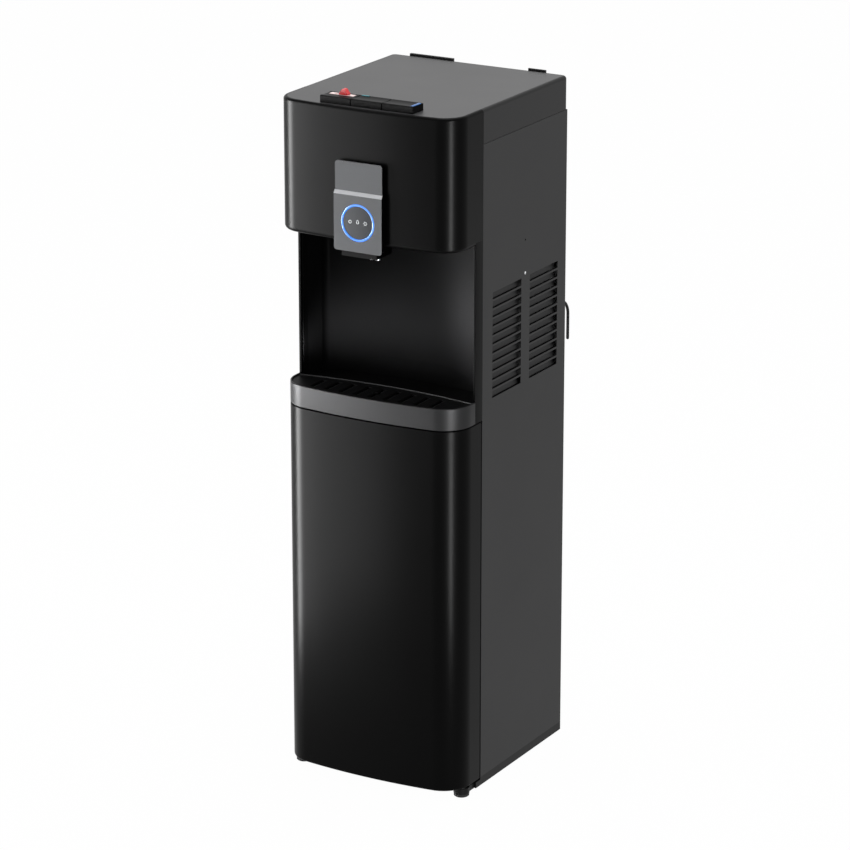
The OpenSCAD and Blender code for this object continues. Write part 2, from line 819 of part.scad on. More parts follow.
module valve_block() {
    z = nose_z + 10;
    color(white_abs) {
        difference() {
            box(-26, 26, nozzle_y_d - 8, nozzle_y_d + 20, z, z + 22);
            for (x = [-nozzle_gap / 2, nozzle_gap / 2])
                bar(x, nozzle_y_d, z - 1, 2, 12);
        }
        for (x = [-16, 0, 16]) {
            bar(x, nozzle_y_d + 6, z + 21, 7, 30);
            bar(x, nozzle_y_d + 6, z + 50, 3, 6);
        }
        // Hose barbs at the back
        for (x = [-14, 14])
            bar(x, nozzle_y_d - 7, z + 12, 3.5, 16, true);
    }
}

// ================= Drip tray =================

// Plan of the drip tray, between the bowed front and the curved back edge.
module tray_plan(inset) {
    intersection() {
        bowed_plan(half_w, body_d, tray_back_d - 5, door_corner_r, inset);
        translate([0, y_at(tray_back_d + tray_back_r)]) circle(tray_back_r - inset, $fn = 256);
    }
}

module band_section() {
    edge_r = 1.2;
    difference() {
        translate([0, band_z]) square([door_t, band_h]);
        translate([0, band_top_z]) mirror([0, 1]) corner_round(edge_r);
        translate([0, band_z]) corner_round(edge_r / 2);
    }
}

module tray_band() {
    rim_t = 2.2;
    color(trim_grey) {
        bowed_wall(half_w, body_d, band_end_d, door_corner_r) band_section();
        // Thin rim along the curved back
        difference() {
            translate([0, 0, band_top_z - 4]) linear_extrude(3.4) tray_plan(0.4);
            translate([0, 0, band_top_z - 5]) linear_extrude(6) tray_plan(0.4 + rim_t);
            box(-half_w + door_t - 0.5, half_w - door_t + 0.5, band_end_d + 6, 2 * body_d, 0, top_z);
        }
    }
}

module tray_basin() {
    wall_t = 2.2;
    inset = door_t + 0.2;
    z = pocket_z + liner_t + 0.3;
    ledge_z = band_top_z - 4.8;
    color(black) difference() {
        translate([0, 0, z]) linear_extrude(ledge_z - z) tray_plan(inset);
        translate([0, 0, z + 2]) linear_extrude(band_h) tray_plan(inset + wall_t);
    }
}

// Slots of the grille, run from front to back, with a round drain hole at the middle.
module slot_pattern() {
    first = -(slot_count - 1) / 2 * slot_pitch;
    mid_d = body_d - tray_l / 2 - 1;
    for (i = [0:slot_count - 1]) {
        x = first + i * slot_pitch;
        l = 44 - 0.0011 * x * x;
        translate([x, y_at(mid_d)]) {
            square([slot_w, l], center = true);
            for (s = [-1, 1])
                translate([0, s * l / 2]) circle(slot_w / 2);
        }
    }
    translate([0, y_at(mid_d)]) circle(6);
}

module tray_grille() {
    z = band_top_z - 4.7;
    mid_d = body_d - tray_l / 2 - 1;
    color(black) {
        translate([0, 0, z])
            linear_extrude(2.6)
                difference() {
                    tray_plan(door_t + 0.5);
                    slot_pattern();
                }
        // Ribs between the slots
        for (d = [mid_d - 14, mid_d + 14])
            for (i = [0:slot_count - 2]) {
                x = -(slot_count - 1) / 2 * slot_pitch + i * slot_pitch;
                box(x + slot_w, x + slot_pitch - slot_w, d - 0.8, d + 0.8, z - 3.4, z + 0.1);
            }
    }
}

// ================= Door =================

module door_section() {
    edge_r = 3;
    cap_w = 12;
    difference() {
        union() {
            translate([0, door_z]) square([door_t, door_h]);
            translate([0, door_z]) square([cap_w, door_t]);
            translate([0, door_top_z - door_t]) square([cap_w, door_t]);
        }
        translate([0, door_z]) corner_round(edge_r);
        translate([0, door_top_z]) mirror([0, 1]) corner_round(edge_r / 2);
    }
}

module door_skin() {
    cap_edge = 10;
    bush_r = pin_d / 2 + 2.4;
    back_d = seam_d + 2.5;
    color(satin_black) difference() {
        union() {
            bowed_wall(half_w, body_d, back_d, door_corner_r) door_section();
            // Top and bottom of the pan
            for (z = [door_z, door_top_z - door_t])
                translate([0, 0, z])
                    linear_extrude(door_t)
                        bowed_plan(half_w, body_d, back_d + 4, door_corner_r, cap_edge);
        }
        bar(hinge_x, hinge_d, door_z - 1, bush_r, door_t + 2);
        bar(hinge_x, hinge_d, door_top_z - door_t - 1, bush_r, door_t + 2);
        // Room for the corners of the folded edge as the door swings
        for (s = [0, 1])
            mirror([s, 0, 0])
                translate([half_w, y_at(back_d), door_z - 1])
                    mirror([0, 1, 0]) linear_extrude(door_h + 2) mirror([1, 0]) corner_round(2.4);
    }
}

module door_liner() {
    inset = door_t + 0.2;
    leg_t = 2.6;
    back_d = seam_d + 5;
    z0 = door_z + door_t + 0.2;
    h = door_h - 2 * door_t - 0.4;
    bush_r = pin_d / 2 + 2.4;
    color([0.2, 0.2, 0.205]) difference() {
        translate([0, 0, z0])
            linear_extrude(h)
                intersection() {
                    bowed_plan(half_w, body_d, back_d, door_corner_r, inset);
                    translate([-half_w, y_at(door_inner_d + 2)]) square([body_w, door_inner_d + 2 - back_d]);
                }
        difference() {
            translate([0, 0, z0 - 1])
                linear_extrude(h + 2)
                    intersection() {
                        bowed_plan(half_w, body_d, back_d - 1, door_corner_r, inset + leg_t);
                        translate([-half_w, y_at(door_inner_d)]) square([body_w, door_inner_d]);
                    }
            // Raised ribs across the panel
            for (z = [door_z + 120, door_z + 280, door_z + 440])
                box(-110, 110, door_inner_d - 1.6, door_inner_d + 1, z - 6, z + 6);
        }
        // Room for the hinge bushes
        bar(hinge_x, hinge_d, z0 - 1, bush_r + 3, 14);
        bar(hinge_x, hinge_d, door_top_z - 16, bush_r + 3, 16);
    }
}

module door_bush(z, up) {
    bush_r = pin_d / 2 + 2.4;
    flange_r = bush_r + 2;
    difference() {
        union() {
            bar(hinge_x, hinge_d, up ? z - 0.6 : z - 8, bush_r - fit, 8.6);
            bar(hinge_x, hinge_d, up ? z + door_t + 0.1 : z - door_t - 2.1, flange_r, 2);
        }
        bar(hinge_x, hinge_d, z - 12, pin_d / 2 + fit, 24);
    }
}

module door_bushes() {
    color(white_abs) {
        door_bush(door_z, true);
        door_bush(door_top_z, false);
    }
}

module door_magnets() {
    x = -half_w + door_t + 0.3;
    color(black)
        for (z = [door_z + 60, door_top_z - 120])
            box(x, x + 2.3, seam_d + 0.4, seam_d + 4.9, z, z + 60);
}

module lower_hinge_pin() {
    color(steel) {
        bar(hinge_x, hinge_d, base_z + 6.2, pin_d / 2, door_z + 8 - base_z - 6.2);
        bar(hinge_x, hinge_d, door_z - 1.9, pin_d / 2 + 3, 1.1);
    }
}

module upper_hinge_bracket() {
    z = pocket_z - 2.2;
    back = bracket_d;
    color(steel) {
        box(hinge_x - 26, hinge_x + 5, back, hinge_d, z, z + 2);
        bar(hinge_x, hinge_d, z, 9, 2);
        bar(hinge_x, hinge_d, door_top_z - 7, pin_d / 2, z + 1 - door_top_z + 7);
        // Folded foot, screwed down on the middle shelf
        box(hinge_x - 26, hinge_x + 5, back, back + 2, shelf_z + 2, z + 1);
        box(hinge_x - 26, hinge_x + 5, back - 14, back + 1, shelf_z + 2, shelf_z + 4);
    }
}

// ================= Bottle bay =================

module bay_liner() {
    front = seam_d - seam - sheet_t - 0.4;
    lip_h = 5;
    color(white_abs) {
        difference() {
            box(-bay_half - bay_t, bay_half + bay_t, bay_back_d, front, bay_floor_z - bay_t, bay_top_z);
            box(-bay_half, bay_half, bay_back_d + bay_t, front + 1, bay_floor_z, bay_top_z + 1);
        }
        // Front sill, and side walls' outward lips
        box(-bay_half, bay_half, front - bay_t, front, bay_floor_z - 0.1, bay_floor_z + lip_h);
        // Half rings on the floor that centre the bottle
        difference() {
            bar(0, bottle_axis_d, bay_floor_z - 0.1, 52, 2.1);
            bar(0, bottle_axis_d, bay_floor_z - 0.2, 48, 2.4);
        }
        // Open clip that parks the probe
        difference() {
            union() {
                box(probe_x - 9, probe_x + 9, bay_back_d + bay_t - 0.1, probe_d, 456, 468);
                bar(probe_x, probe_d, 456, 9, 12);
            }
            bar(probe_x, probe_d, 455, 5.5, 14);
            box(probe_x - 4.4, probe_x + 4.4, probe_d, probe_d + 20, 455, 470);
        }
    }
}

module mid_shelf() {
    color(steel) difference() {
        union() {
            box(-inner_w + slip, inner_w - slip, 2 * sheet_t + 0.3, seam_d - 3, shelf_z, shelf_z + 2);
            box(-bay_half + 1, bay_half - 1, seam_d - 4.2, seam_d - 3, shelf_z - 8, shelf_z + 2);
        }
        // Pipe passages
        bar(pipe_x - 12, 12, shelf_z - 1, 5, 4);
        bar(drain_x, 12, shelf_z - 1, 8 + slip, 4);
        bar(probe_x, 200, shelf_z - 1, 9, 4);
    }
}

module bottle_probe() {
    z = 468.4;
    color(white_abs) {
        difference() {
            union() {
                bar(probe_x, probe_d, 60, 4.9, z - 58);
                bar(probe_x, probe_d, z, 28, 26);
                bar(probe_x, probe_d, z + 25.9, 14, 10);
            }
            // Hollow tube with side inlets near its foot
            bar(probe_x, probe_d, 59, 3.4, z - 50);
            translate([probe_x - 10, y_at(probe_d), 68]) rotate([0, 90, 0]) cylinder(r = 1.6, h = 20);
            // Skirt that goes over the bottle's neck
            difference() {
                bar(probe_x, probe_d, z - 1, 25.8, 20);
                bar(probe_x, probe_d, z - 2, 7, 22);
            }
        }
        // Grip ribs round the cap
        for (a = [0:30:330])
            translate([probe_x, y_at(probe_d), z + 3])
                rotate([0, 0, a]) translate([27.6, -1, 0]) cube([1.4, 2, 20]);
    }
}

// ================= Cooling and heating =================

module compressor_mounts() {
    color(black)
        for (x = [-58, 58], d = [-36, 36])
            difference() {
                union() {
                    bar(compressor_x + x, compressor_d + d, shelf_z + 2, 9, 5);
                    bar(compressor_x + x, compressor_d + d, shelf_z + 6.9, 5.9, 2.6);
                    bar(compressor_x + x, compressor_d + d, shelf_z + 9.4, 8, 2.6);
                }
                bar(compressor_x + x, compressor_d + d, shelf_z + 1, 3, 14);
            }
}

module compressor() {
    z = shelf_z + 7.2;
    r = 55;
    translate([compressor_x, y_at(compressor_d), z]) color(black) {
        difference() {
            translate([-68, -46, 0]) cube([136, 92, 2]);
            for (x = [-58, 58], y = [-36, 36])
                translate([x, y, -1]) cylinder(r = 6.1, h = 4);
        }
        // Drawn steel shell: a turned profile with a domed top and a weld lip
        rotate_extrude()
            union() {
                translate([0, 1.9]) square([r - 6, 8]);
                translate([0, 8]) square([r, 96]);
                translate([0, 62]) square([r + 2.5, 4]);
                intersection() {
                    translate([0, 104]) square([r, 40]);
                    translate([0, 54]) circle(sqrt(r * r + 50 * 50));
                }
            }
        // Terminal cover and process pipe
        translate([r - 5, -22, 30]) cube([20, 44, 40]);
        translate([-r + 6, 20, 60]) rotate([0, -90, 0]) cylinder(r = 3.2, h = 16);
    }
}

module refrigerant_pipes() {
    r = 2.6;
    bend_r = 7;
    pipe_d = 12;
    shell_r = 55;
    end_d = condenser_d + condenser_tube_d / 2 + 0.05;
    drier_z = shelf_z + 60;
    drier_d = 50;
    color(copper) {
        // Discharge pipe, from the shell to the condenser's upper end
        pipe([
            [compressor_x, y_at(compressor_d - shell_r - 0.2), shelf_z + 44],
            [compressor_x, y_at(pipe_d), shelf_z + 44],
            [pipe_x, y_at(pipe_d), shelf_z + 44],
            [pipe_x, y_at(pipe_d), condenser_top_z],
            [pipe_x, y_at(end_d), condenser_top_z]
        ], r, bend_r);
        // Liquid pipe, from the condenser's lower end up to the drier
        pipe([
            [pipe_x - 12, y_at(end_d), condenser_z],
            [pipe_x - 12, y_at(pipe_d), condenser_z],
            [pipe_x - 12, y_at(pipe_d), drier_z - 14],
            [pipe_x - 12, y_at(drier_d), drier_z - 14],
            [pipe_x - 12, y_at(drier_d), drier_z + 120]
        ], r, bend_r);
        translate([pipe_x - 12, y_at(drier_d), drier_z])
            rotate_extrude()
                polygon([[0, 0], [4, 0], [10, 14], [10, 76], [4, 90], [0, 90]]);
    }
}

// Serpentine tube with wires welded along its back.
module condenser() {
    r = condenser_tube_d / 2;
    bend_r = condenser_pitch / 2;
    wire_r = 0.8;
    run_half = condenser_half - bend_r;
    color(black) {
        for (i = [0:condenser_runs - 1])
            translate([-run_half, y_at(condenser_d), condenser_z + i * condenser_pitch])
                rotate([0, 90, 0]) cylinder(r = r, h = 2 * run_half);
        // Ends that take the pipes
        for (e = [[pipe_x, condenser_top_z], [pipe_x - 12, condenser_z]])
            translate([e.x - 4, y_at(condenser_d), e.y])
                rotate([0, 90, 0]) cylinder(r = r, h = -run_half - e.x + 4);
        for (i = [0:condenser_runs - 2])
            translate([(i % 2 == 0 ? 1 : -1) * run_half, y_at(condenser_d),
                condenser_z + (i + 0.5) * condenser_pitch])
                rotate([90, 0, 0])
                    rotate([0, 0, i % 2 == 0 ? -90 : 90])
                        rotate_extrude(angle = 180) translate([bend_r, 0]) circle(r, $fn = 32);
        for (i = [0:condenser_wires - 1]) {
            x = -run_half + 10 + i * (2 * run_half - 20) / (condenser_wires - 1);
            box(x - wire_r, x + wire_r, condenser_d - r - 2 * wire_r + 0.5, condenser_d - r + 0.5,
                condenser_z - 12, condenser_top_z + 12);
        }
        // Mounting tabs, welded on the tube and screwed to the rear panel
        for (x = [-run_half - 6, run_half - 6], z = [condenser_z, condenser_top_z])
            box(x, x + 12, condenser_d, sheet_t - 0.1, z - 1.2, z + 1.2);
    }
}

module water_pump() {
    z = shelf_z + 2;
    x = -74;
    d = 128;
    color([0.2, 0.2, 0.21]) {
        // Foot, motor and pump head with its two hose barbs
        box(x - 26, x + 26, d - 18, d + 18, z, z + 3);
        bar(x, d, z + 2.9, 17, 44);
        bar(x, d, z + 46, 21, 14);
        bar(x, d, z + 59.9, 14, 8);
        for (s = [-1, 1])
            translate([x, y_at(d), z + 53]) rotate([0, s * 90, 0]) cylinder(r = 3.5, h = 32);
    }
}

module tank_shelf() {
    z = tank_shelf_z;
    color(steel) {
        box(-inner_w + slip, inner_w - slip, 2 * sheet_t + 0.3, seam_d - 12, z, z + 2);
        for (s = [0, 1])
            mirror([s, 0, 0])
                box(inner_w - slip - 1.5, inner_w - slip, 2 * sheet_t + 0.3, seam_d - 12, nose_z + 6, z + 0.1);
    }
}

// Turned stainless tank with domed ends.
module tank_shape(r, h, dome) {
    rotate_extrude()
        intersection() {
            square([r, h]);
            union() {
                translate([0, dome]) square([r, h - 2 * dome]);
                for (z = [dome, h - dome])
                    translate([0, z]) intersection() {
                        translate([0, -dome]) square([r, 2 * dome]);
                        translate([0, (z == dome ? 1 : -1) * (r * r - dome * dome) / (2 * dome)])
                            circle((r * r + dome * dome) / (2 * dome), $fn = 256);
                    }
            }
        }
}

module cold_tank() {
    z = tank_shelf_z + 12;
    r = jacket_side / 2 - 19;
    color(steel) translate([cold_x, y_at(tank_axis_d), z]) tank_shape(r, jacket_h - 26, 10);
    // Evaporator rings soldered round the tank
    color(copper)
        for (i = [0:6])
            translate([cold_x, y_at(tank_axis_d), z + 40 + 9 * i])
                rotate_extrude() translate([r + 2.6, 0]) circle(3);
}

module cold_jacket() {
    z = tank_shelf_z + 2;
    half = jacket_side / 2;
    color([0.93, 0.93, 0.9]) difference() {
        box(cold_x - half, cold_x + half, tank_axis_d - half, tank_axis_d + half, z, z + jacket_h);
        bar(cold_x, tank_axis_d, z + 10, half - 12, jacket_h - 20);
        // Outlet passage at the foot of the front wall
        bar(cold_x, tank_axis_d + half + 1, z + 30, 5, half, true);
    }
}

module hot_tank() {
    z = tank_shelf_z + 6;
    shell_h = jacket_h - 34;
    color(steel) translate([hot_x, y_at(tank_axis_d), 0]) {
        translate([0, 0, z]) tank_shape(48, shell_h, 9);
        // Clamp band of the heater, with its lug
        translate([0, 0, z + 30]) difference() {
            union() {
                cylinder(r = 50.4, h = 26);
                translate([-6, -56, 0]) cube([12, 8, 26]);
            }
            translate([0, 0, -1]) cylinder(r = 47.9, h = 28);
        }
        // Thermostats and the inlet stub
        translate([0, -47.6, z + 80]) rotate([90, 0, 0]) cylinder(r = 9, h = 7);
        translate([0, -47.6, z + 106]) rotate([90, 0, 0]) cylinder(r = 9, h = 7);
        translate([0, 0, z + shell_h - 1]) cylinder(r = 5, h = 10);
        // Three feet
        for (a = [30, 150, 270])
            rotate([0, 0, a]) translate([38, 0, tank_shelf_z + 2]) cylinder(r = 4, h = 11);
    }
}

module control_box() {
    x0 = -inner_w + slip;
    wall = 2;
    color(white_abs) difference() {
        box(x0, x0 + 27, 182, 238, tank_shelf_z + 2, tank_shelf_z + 112);
        box(x0 + wall, x0 + 30, 182 + wall, 238 - wall, tank_shelf_z + 2 + wall, tank_shelf_z + 112 - wall);
    }
    // Circuit board on the box's back wall, with its relays
    color([0.1, 0.3, 0.18]) box(x0 + wall - 0.1, x0 + wall + 1.6, 186, 234, tank_shelf_z + 8, tank_shelf_z + 106);
    color([0.2, 0.2, 0.2])
        for (k = [0:2])
            box(x0 + wall + 1.5, x0 + wall + 16, 192, 206, tank_shelf_z + 16 + 28 * k, tank_shelf_z + 36 + 28 * k);
}

// ================= Keys =================

// Places its children at the middle of key 0, 1 or 2, from the user's left.
module at_key(i) {
    translate([(i - 1) * (key_w + key_gap), y_at(key_mid_d), 0]) children();
}

// Section of a key from front to back: x runs backwards from the key's front, y is height.
module key_section() {
    r = 1.5;
    difference() {
        translate([0, top_z - key_skirt]) square([key_l, key_h + key_skirt]);
        translate([key_l, top_z + key_h]) rotate(180) corner_round(r);
        translate([0, top_z + key_h]) mirror([0, 1]) corner_round(r);
        // Shallow dish for the finger
        translate([key_l / 2 + 2, top_z + key_h + 79]) circle(80, $fn = 256);
    }
}

module key_body(i) {
    wall = 1.8;
    at_key(i) {
        difference() {
            translate([-key_w / 2, -key_l / 2, 0])
                rotate([90, 0, 90]) linear_extrude(key_w) key_section();
            translate([-key_w / 2 + wall, -key_l / 2 + wall, top_z - key_skirt - 1])
                cube([key_w - 2 * wall, key_l - 2 * wall, key_h + key_skirt + 1 - key_roof]);
        }
        // Stem that slides in the guide, with a shoulder under the roof
        translate([0, 0, guide_z - 9]) cylinder(d = stem_d, h = top_z + key_h - key_roof - guide_z + 9.1);
    }
}

module hot_key() {
    color(black) difference() {
        key_body(0);
        // Seat of the lock window
        at_key(0) translate([-20.2, 1.8, top_z + key_h - 2]) cube([40.4, 9.4, 3]);
    }
}

module room_key() {
    color(black) key_body(1);
}

module cold_key() {
    color(black) key_body(2);
}

// Pale insert in the hot key, with the slot that the lock slides in.
module lock_window() {
    color([0.93, 0.74, 0.72])
        at_key(0)
            difference() {
                translate([-20, 2, top_z + key_h - 1.9]) cube([40, 9, 1.5]);
                translate([-13, 5, top_z + key_h - 3]) cube([26, 3, 4]);
            }
}

module lock_knob() {
    rest_x = 3;
    base_z0 = top_z + key_h - 0.3;
    color([0.85, 0.1, 0.12])
        at_key(0)
            translate([rest_x, 6.5, 0]) {
                translate([-1.4, -1.4, base_z0 - 1.4]) cube([2.8, 2.8, 1.5]);
                // Wedge-shaped grip
                translate([-7, 4.2, base_z0])
                    rotate([90, 0, 0])
                        linear_extrude(8.4)
                            polygon([[0, 0], [14, 0], [14, 1.4], [9.6, 7.6], [8.4, 8.2], [5.6, 8.2], [4.4, 7.6], [0, 1.4]]);
            }
}

module key_spring(i) {
    wire_r = 0.45;
    turns = 6;
    length = top_z + key_h - key_roof - guide_z - guide_t - 2 * wire_r - 0.2;
    color(steel)
        at_key(i)
            translate([0, 0, guide_z + guide_t + wire_r + 0.1])
                helix(stem_d / 2 + 1.6, wire_r, length / turns, turns, 16, 6);
}

module hot_spring() {
    key_spring(0);
}

module room_spring() {
    key_spring(1);
}

module cold_spring() {
    key_spring(2);
}

// Open tray under the keys: it hangs under the top panel and guides the three stems.
module key_guide() {
    wall = 1.4;
    x = key_row_w / 2 + key_well + 0.6 + wall;
    d0 = key_back_d - key_well - 0.6 - wall;
    d1 = key_front_d + key_well + 0.6 + wall;
    color(black) difference() {
        union() {
            difference() {
                box(-x, x, d0, d1, guide_z, top_z - top_t);
                box(-x + wall, x - wall, d0 + wall, d1 - wall, guide_z + guide_t, top_z);
            }
            for (i = [0:2])
                at_key(i) translate([0, 0, guide_z - 6]) cylinder(r = stem_d / 2 + 2.5, h = 7);
        }
        for (i = [0:2])
            at_key(i) translate([0, 0, guide_z - 7]) cylinder(r = stem_d / 2 + fit, h = 12);
    }
}

// ================= Back fittings =================

module switch_housing() {
    wall = 2;
    x0 = switch_x - 37;
    x1 = switch_x + 37;
    color(black) difference() {
        union() {
            box(x0, x1, -7.5, -2.7, switch_z - 16, top_z + 2.5);
            box(switch_x - 31, switch_x + 31, -2.8, 12, switch_z - 11, switch_z + 11);
        }
        // One well for each rocker
        for (i = [-1:1])
            box(switch_x + i * switch_pitch - 8, switch_x + i * switch_pitch + 8, -8, 10, switch_z - 9, switch_z + 9);
    }
}

// Rocker with a shallow V face. It tips about a pin along X; at rest its lower half is pressed in.
module rocker(i) {
    tilt = 8;
    color(black)
        translate([switch_x + i * switch_pitch, y_at(0), switch_z])
            rotate([tilt, 0, 0])
                translate([-7, 0, 0])
                    rotate([90, 0, 90])
                        linear_extrude(14)
                            polygon([[-6, -5], [6.6, -8], [5.2, 0], [6.6, 8], [-6, 5]]);
    // Pivot pins
    color(black)
        translate([switch_x + i * switch_pitch - 7.9, y_at(0), switch_z])
            rotate([0, 90, 0]) cylinder(r = 1.5, h = 15.8);
}

module hot_switch() {
    rocker(1);
}

module cold_switch() {
    rocker(0);
}

module light_switch() {
    rocker(-1);
}

// Catch that clips the top panel's back edge to the skirt.
module lid_catch() {
    x = half_w - 53;
    color(black) {
        box(x - 14.5, x + 14.5, -5.5, -2.7, top_z - 34, top_z + 2.5);
        box(x - 14.5, x + 14.5, -7, -5.4, top_z - 34, top_z - 28);
    }
}

module drain_fitting() {
    bore_r = 6;
    color(white_abs) difference() {
        union() {
            bar(drain_x, 6, drain_z, 14, 3.7, true);
            bar(drain_x, 6, drain_z, 11, 20, true);
            bar(drain_x, 12, drain_z - 11, 8, 0.1 + shelf_z + 60 - drain_z + 11);
        }
        bar(drain_x, 7, drain_z, bore_r, 22, true);
        bar(drain_x, 12, drain_z, 5.5, shelf_z + 70 - drain_z);
    }
}

module drain_cap() {
    color(black) difference() {
        union() {
            bar(drain_x, 0.5, drain_z, 14, 16.5, true);
            // Grip ribs
            for (a = [0:30:330])
                translate([drain_x, y_at(0.5), drain_z])
                    rotate([0, a, 0]) translate([13.6, 0, -1]) cube([1.4, 16.5, 2]);
        }
        bar(drain_x, 2, drain_z, 11 + fit + 0.1, 16, true);
    }
}

// Cable gland with a clear 7.4 mm hole for the mains lead.
module cord_gland() {
    color(black) difference() {
        union() {
            bar(-drain_x, 4, gland_z, 8, 10, true);
            bar(-drain_x, 0.8, gland_z, 10.5, 3.4, true);
            bar(-drain_x, 4.6, gland_z, 9.5, 2.4, true);
        }
        bar(-drain_x, 6, gland_z, 3.7, 14, true);
    }
}

// Bent steel rod on a welded pad, one at each side.
module rear_hooks() {
    r = hook_rod_d / 2;
    bend_r = 24;
    hook_x = half_w - 14;
    hook_z = 686;
    hook_low_z = 622;
    rod_d = -hook_reach + r;
    color(black)
        for (s = [-1, 1])
            translate([s * hook_x, 0, 0]) {
                box(-7, 7, -0.6, sheet_t - 0.1, hook_z - 10, hook_z + 10);
                pipe([
                    [0, y_at(0), hook_z], [0, y_at(rod_d), hook_z], [0, y_at(rod_d), hook_low_z + r]
                ], r, bend_r);
                translate([0, y_at(rod_d), hook_low_z + r]) mirror([0, 0, 1]) half_ball(r);
            }
}

base_pan();
front_left_foot();
front_right_foot();
rear_feet();
left_side_panel();
right_side_panel();
lower_rear_panel();
upper_rear_panel();
case_screws();
front_panel();
top_skirt();
top_panel();
recess_liner();
spout_block();
face_plate_upper();
face_plate_lower();
light_ring();
display_window();
nozzles();
valve_block();
tray_band();
tray_basin();
tray_grille();
door_skin();
door_liner();
door_bushes();
door_magnets();
lower_hinge_pin();
upper_hinge_bracket();
bay_liner();
mid_shelf();
bottle_probe();
compressor();
compressor_mounts();
refrigerant_pipes();
water_pump();
condenser();
tank_shelf();
cold_tank();
cold_jacket();
hot_tank();
control_box();
key_guide();
hot_key();
room_key();
cold_key();
lock_window();
lock_knob();
hot_spring();
room_spring();
cold_spring();
switch_housing();
hot_switch();
cold_switch();
light_switch();
lid_catch();
drain_fitting();
drain_cap();
cord_gland();
rear_hooks();
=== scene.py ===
"""A floor-standing, bottom-loading water dispenser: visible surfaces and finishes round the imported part.

Everything is in metres in the part's own frame: +Z up, -Y towards the user, +X to the right. Depths are
counted forwards from the plane of the rear panels.
"""

from __future__ import annotations

import logging
import math
from collections.abc import Sequence
from dataclasses import dataclass
from enum import Enum, member

import bmesh
import bpy
import numpy as np
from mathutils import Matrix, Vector


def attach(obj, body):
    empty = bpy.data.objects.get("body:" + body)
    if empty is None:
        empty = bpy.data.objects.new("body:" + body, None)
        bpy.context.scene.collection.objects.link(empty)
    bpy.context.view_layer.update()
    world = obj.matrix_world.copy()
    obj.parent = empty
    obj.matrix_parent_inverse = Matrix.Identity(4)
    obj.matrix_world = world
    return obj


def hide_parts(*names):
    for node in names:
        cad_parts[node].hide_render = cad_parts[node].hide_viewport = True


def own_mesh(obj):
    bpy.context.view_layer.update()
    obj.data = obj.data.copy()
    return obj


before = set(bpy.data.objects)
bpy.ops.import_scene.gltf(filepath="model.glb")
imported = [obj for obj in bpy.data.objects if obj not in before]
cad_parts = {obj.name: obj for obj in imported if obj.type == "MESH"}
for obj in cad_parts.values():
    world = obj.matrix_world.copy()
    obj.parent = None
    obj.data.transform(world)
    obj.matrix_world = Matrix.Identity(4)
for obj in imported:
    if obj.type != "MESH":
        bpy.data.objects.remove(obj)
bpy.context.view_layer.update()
LOG = logging.getLogger("dispenser")

Array = np.ndarray
Colour = tuple[float, float, float]
Point = tuple[float, float, float]
Span = tuple[float, float]

# The cabinet: plane of its back, half of its width, fall of the front's bow, radius of the corners of door
# and tray, depths of the front faces and of the seam behind them.
REAR_Y = 0.1565
HALF_W = 0.149
BOW_FALL = 0.0064
DOOR_CORNER_R = 0.045
DOOR_FRONT = 0.336
NOSE_FRONT = 0.340
SEAM_DEPTH = 0.253

# Heights of the grey band, of the nose's underside and of the top.
BAND_BOTTOM = 0.576
BAND_TOP = 0.6085
NOSE_BOTTOM = 0.840
TOP = 1.036

# Meshes: points closer than MERGE are one point, edges shorter than SLIVER go, TOUCH tells equal places, and
# edges folded by more than SHARP stay sharp.
MERGE = 1e-7
SLIVER = 1e-8
TOUCH = 1e-6
SHARP = math.radians(32.0)

# Plans of bowed fronts: points of a corner and of the bow, and run from a corner to its side's first point.
CORNER_STEPS = 25
BOW_STEPS = 61
RUN_UP = 0.0012

# Faces: a face looks one way where its normal's part that way is over FULLY, and partly so over PARTLY.
FULLY = 0.75
PARTLY = 0.25

# Noise in the finishes: scale of the broad one, details of both, the range in use, and the roughness's swing
# and least value.
BROAD_SCALE = 9.0
BROAD_DETAIL = 2.0
FINE_DETAIL = 3.0
NOISE_LOW = 0.3
NOISE_HIGH = 0.7
ROUGH_SWING = 0.06
ROUGH_LEAST = 0.02

WHITE = (1.0, 1.0, 1.0, 1.0)


# ---------------------------------------------------------------- finishes


def add_node(tree: bpy.types.NodeTree, kind: str,
             values: dict[str | int, object] | None = None) -> bpy.types.Node:
    """Adds a shader node.

    Args:
        tree: The node tree that gets it.
        kind: Its type, without the leading "ShaderNode".
        values: Values of its inputs, by name or number.

    Returns:
        The new node.
    """
    node = tree.nodes.new("ShaderNode" + kind)
    for socket, value in (values or {}).items():
        node.inputs[socket].default_value = value
    return node


class Grain(Enum):
    """How the fine relief of a finish is laid out: scale of its noise along X, Y and Z."""

    EVEN = (1.0, 1.0, 1.0)
    BRUSHED_X = (0.012, 1.0, 1.0)


class Facing(Enum):
    """Which way a face looks; each value is a test on an array of face normals."""

    # Picks the face plates' sides and undersides, which get painted shade.
    SIDEWAYS_OR_DOWN = member(lambda n: (np.abs(n[:, 0]) > FULLY) | (n[:, 2] < -FULLY))
    # Picks the face plates' upward faces, which get a painted highlight.
    UP = member(lambda n: n[:, 2] > PARTLY)


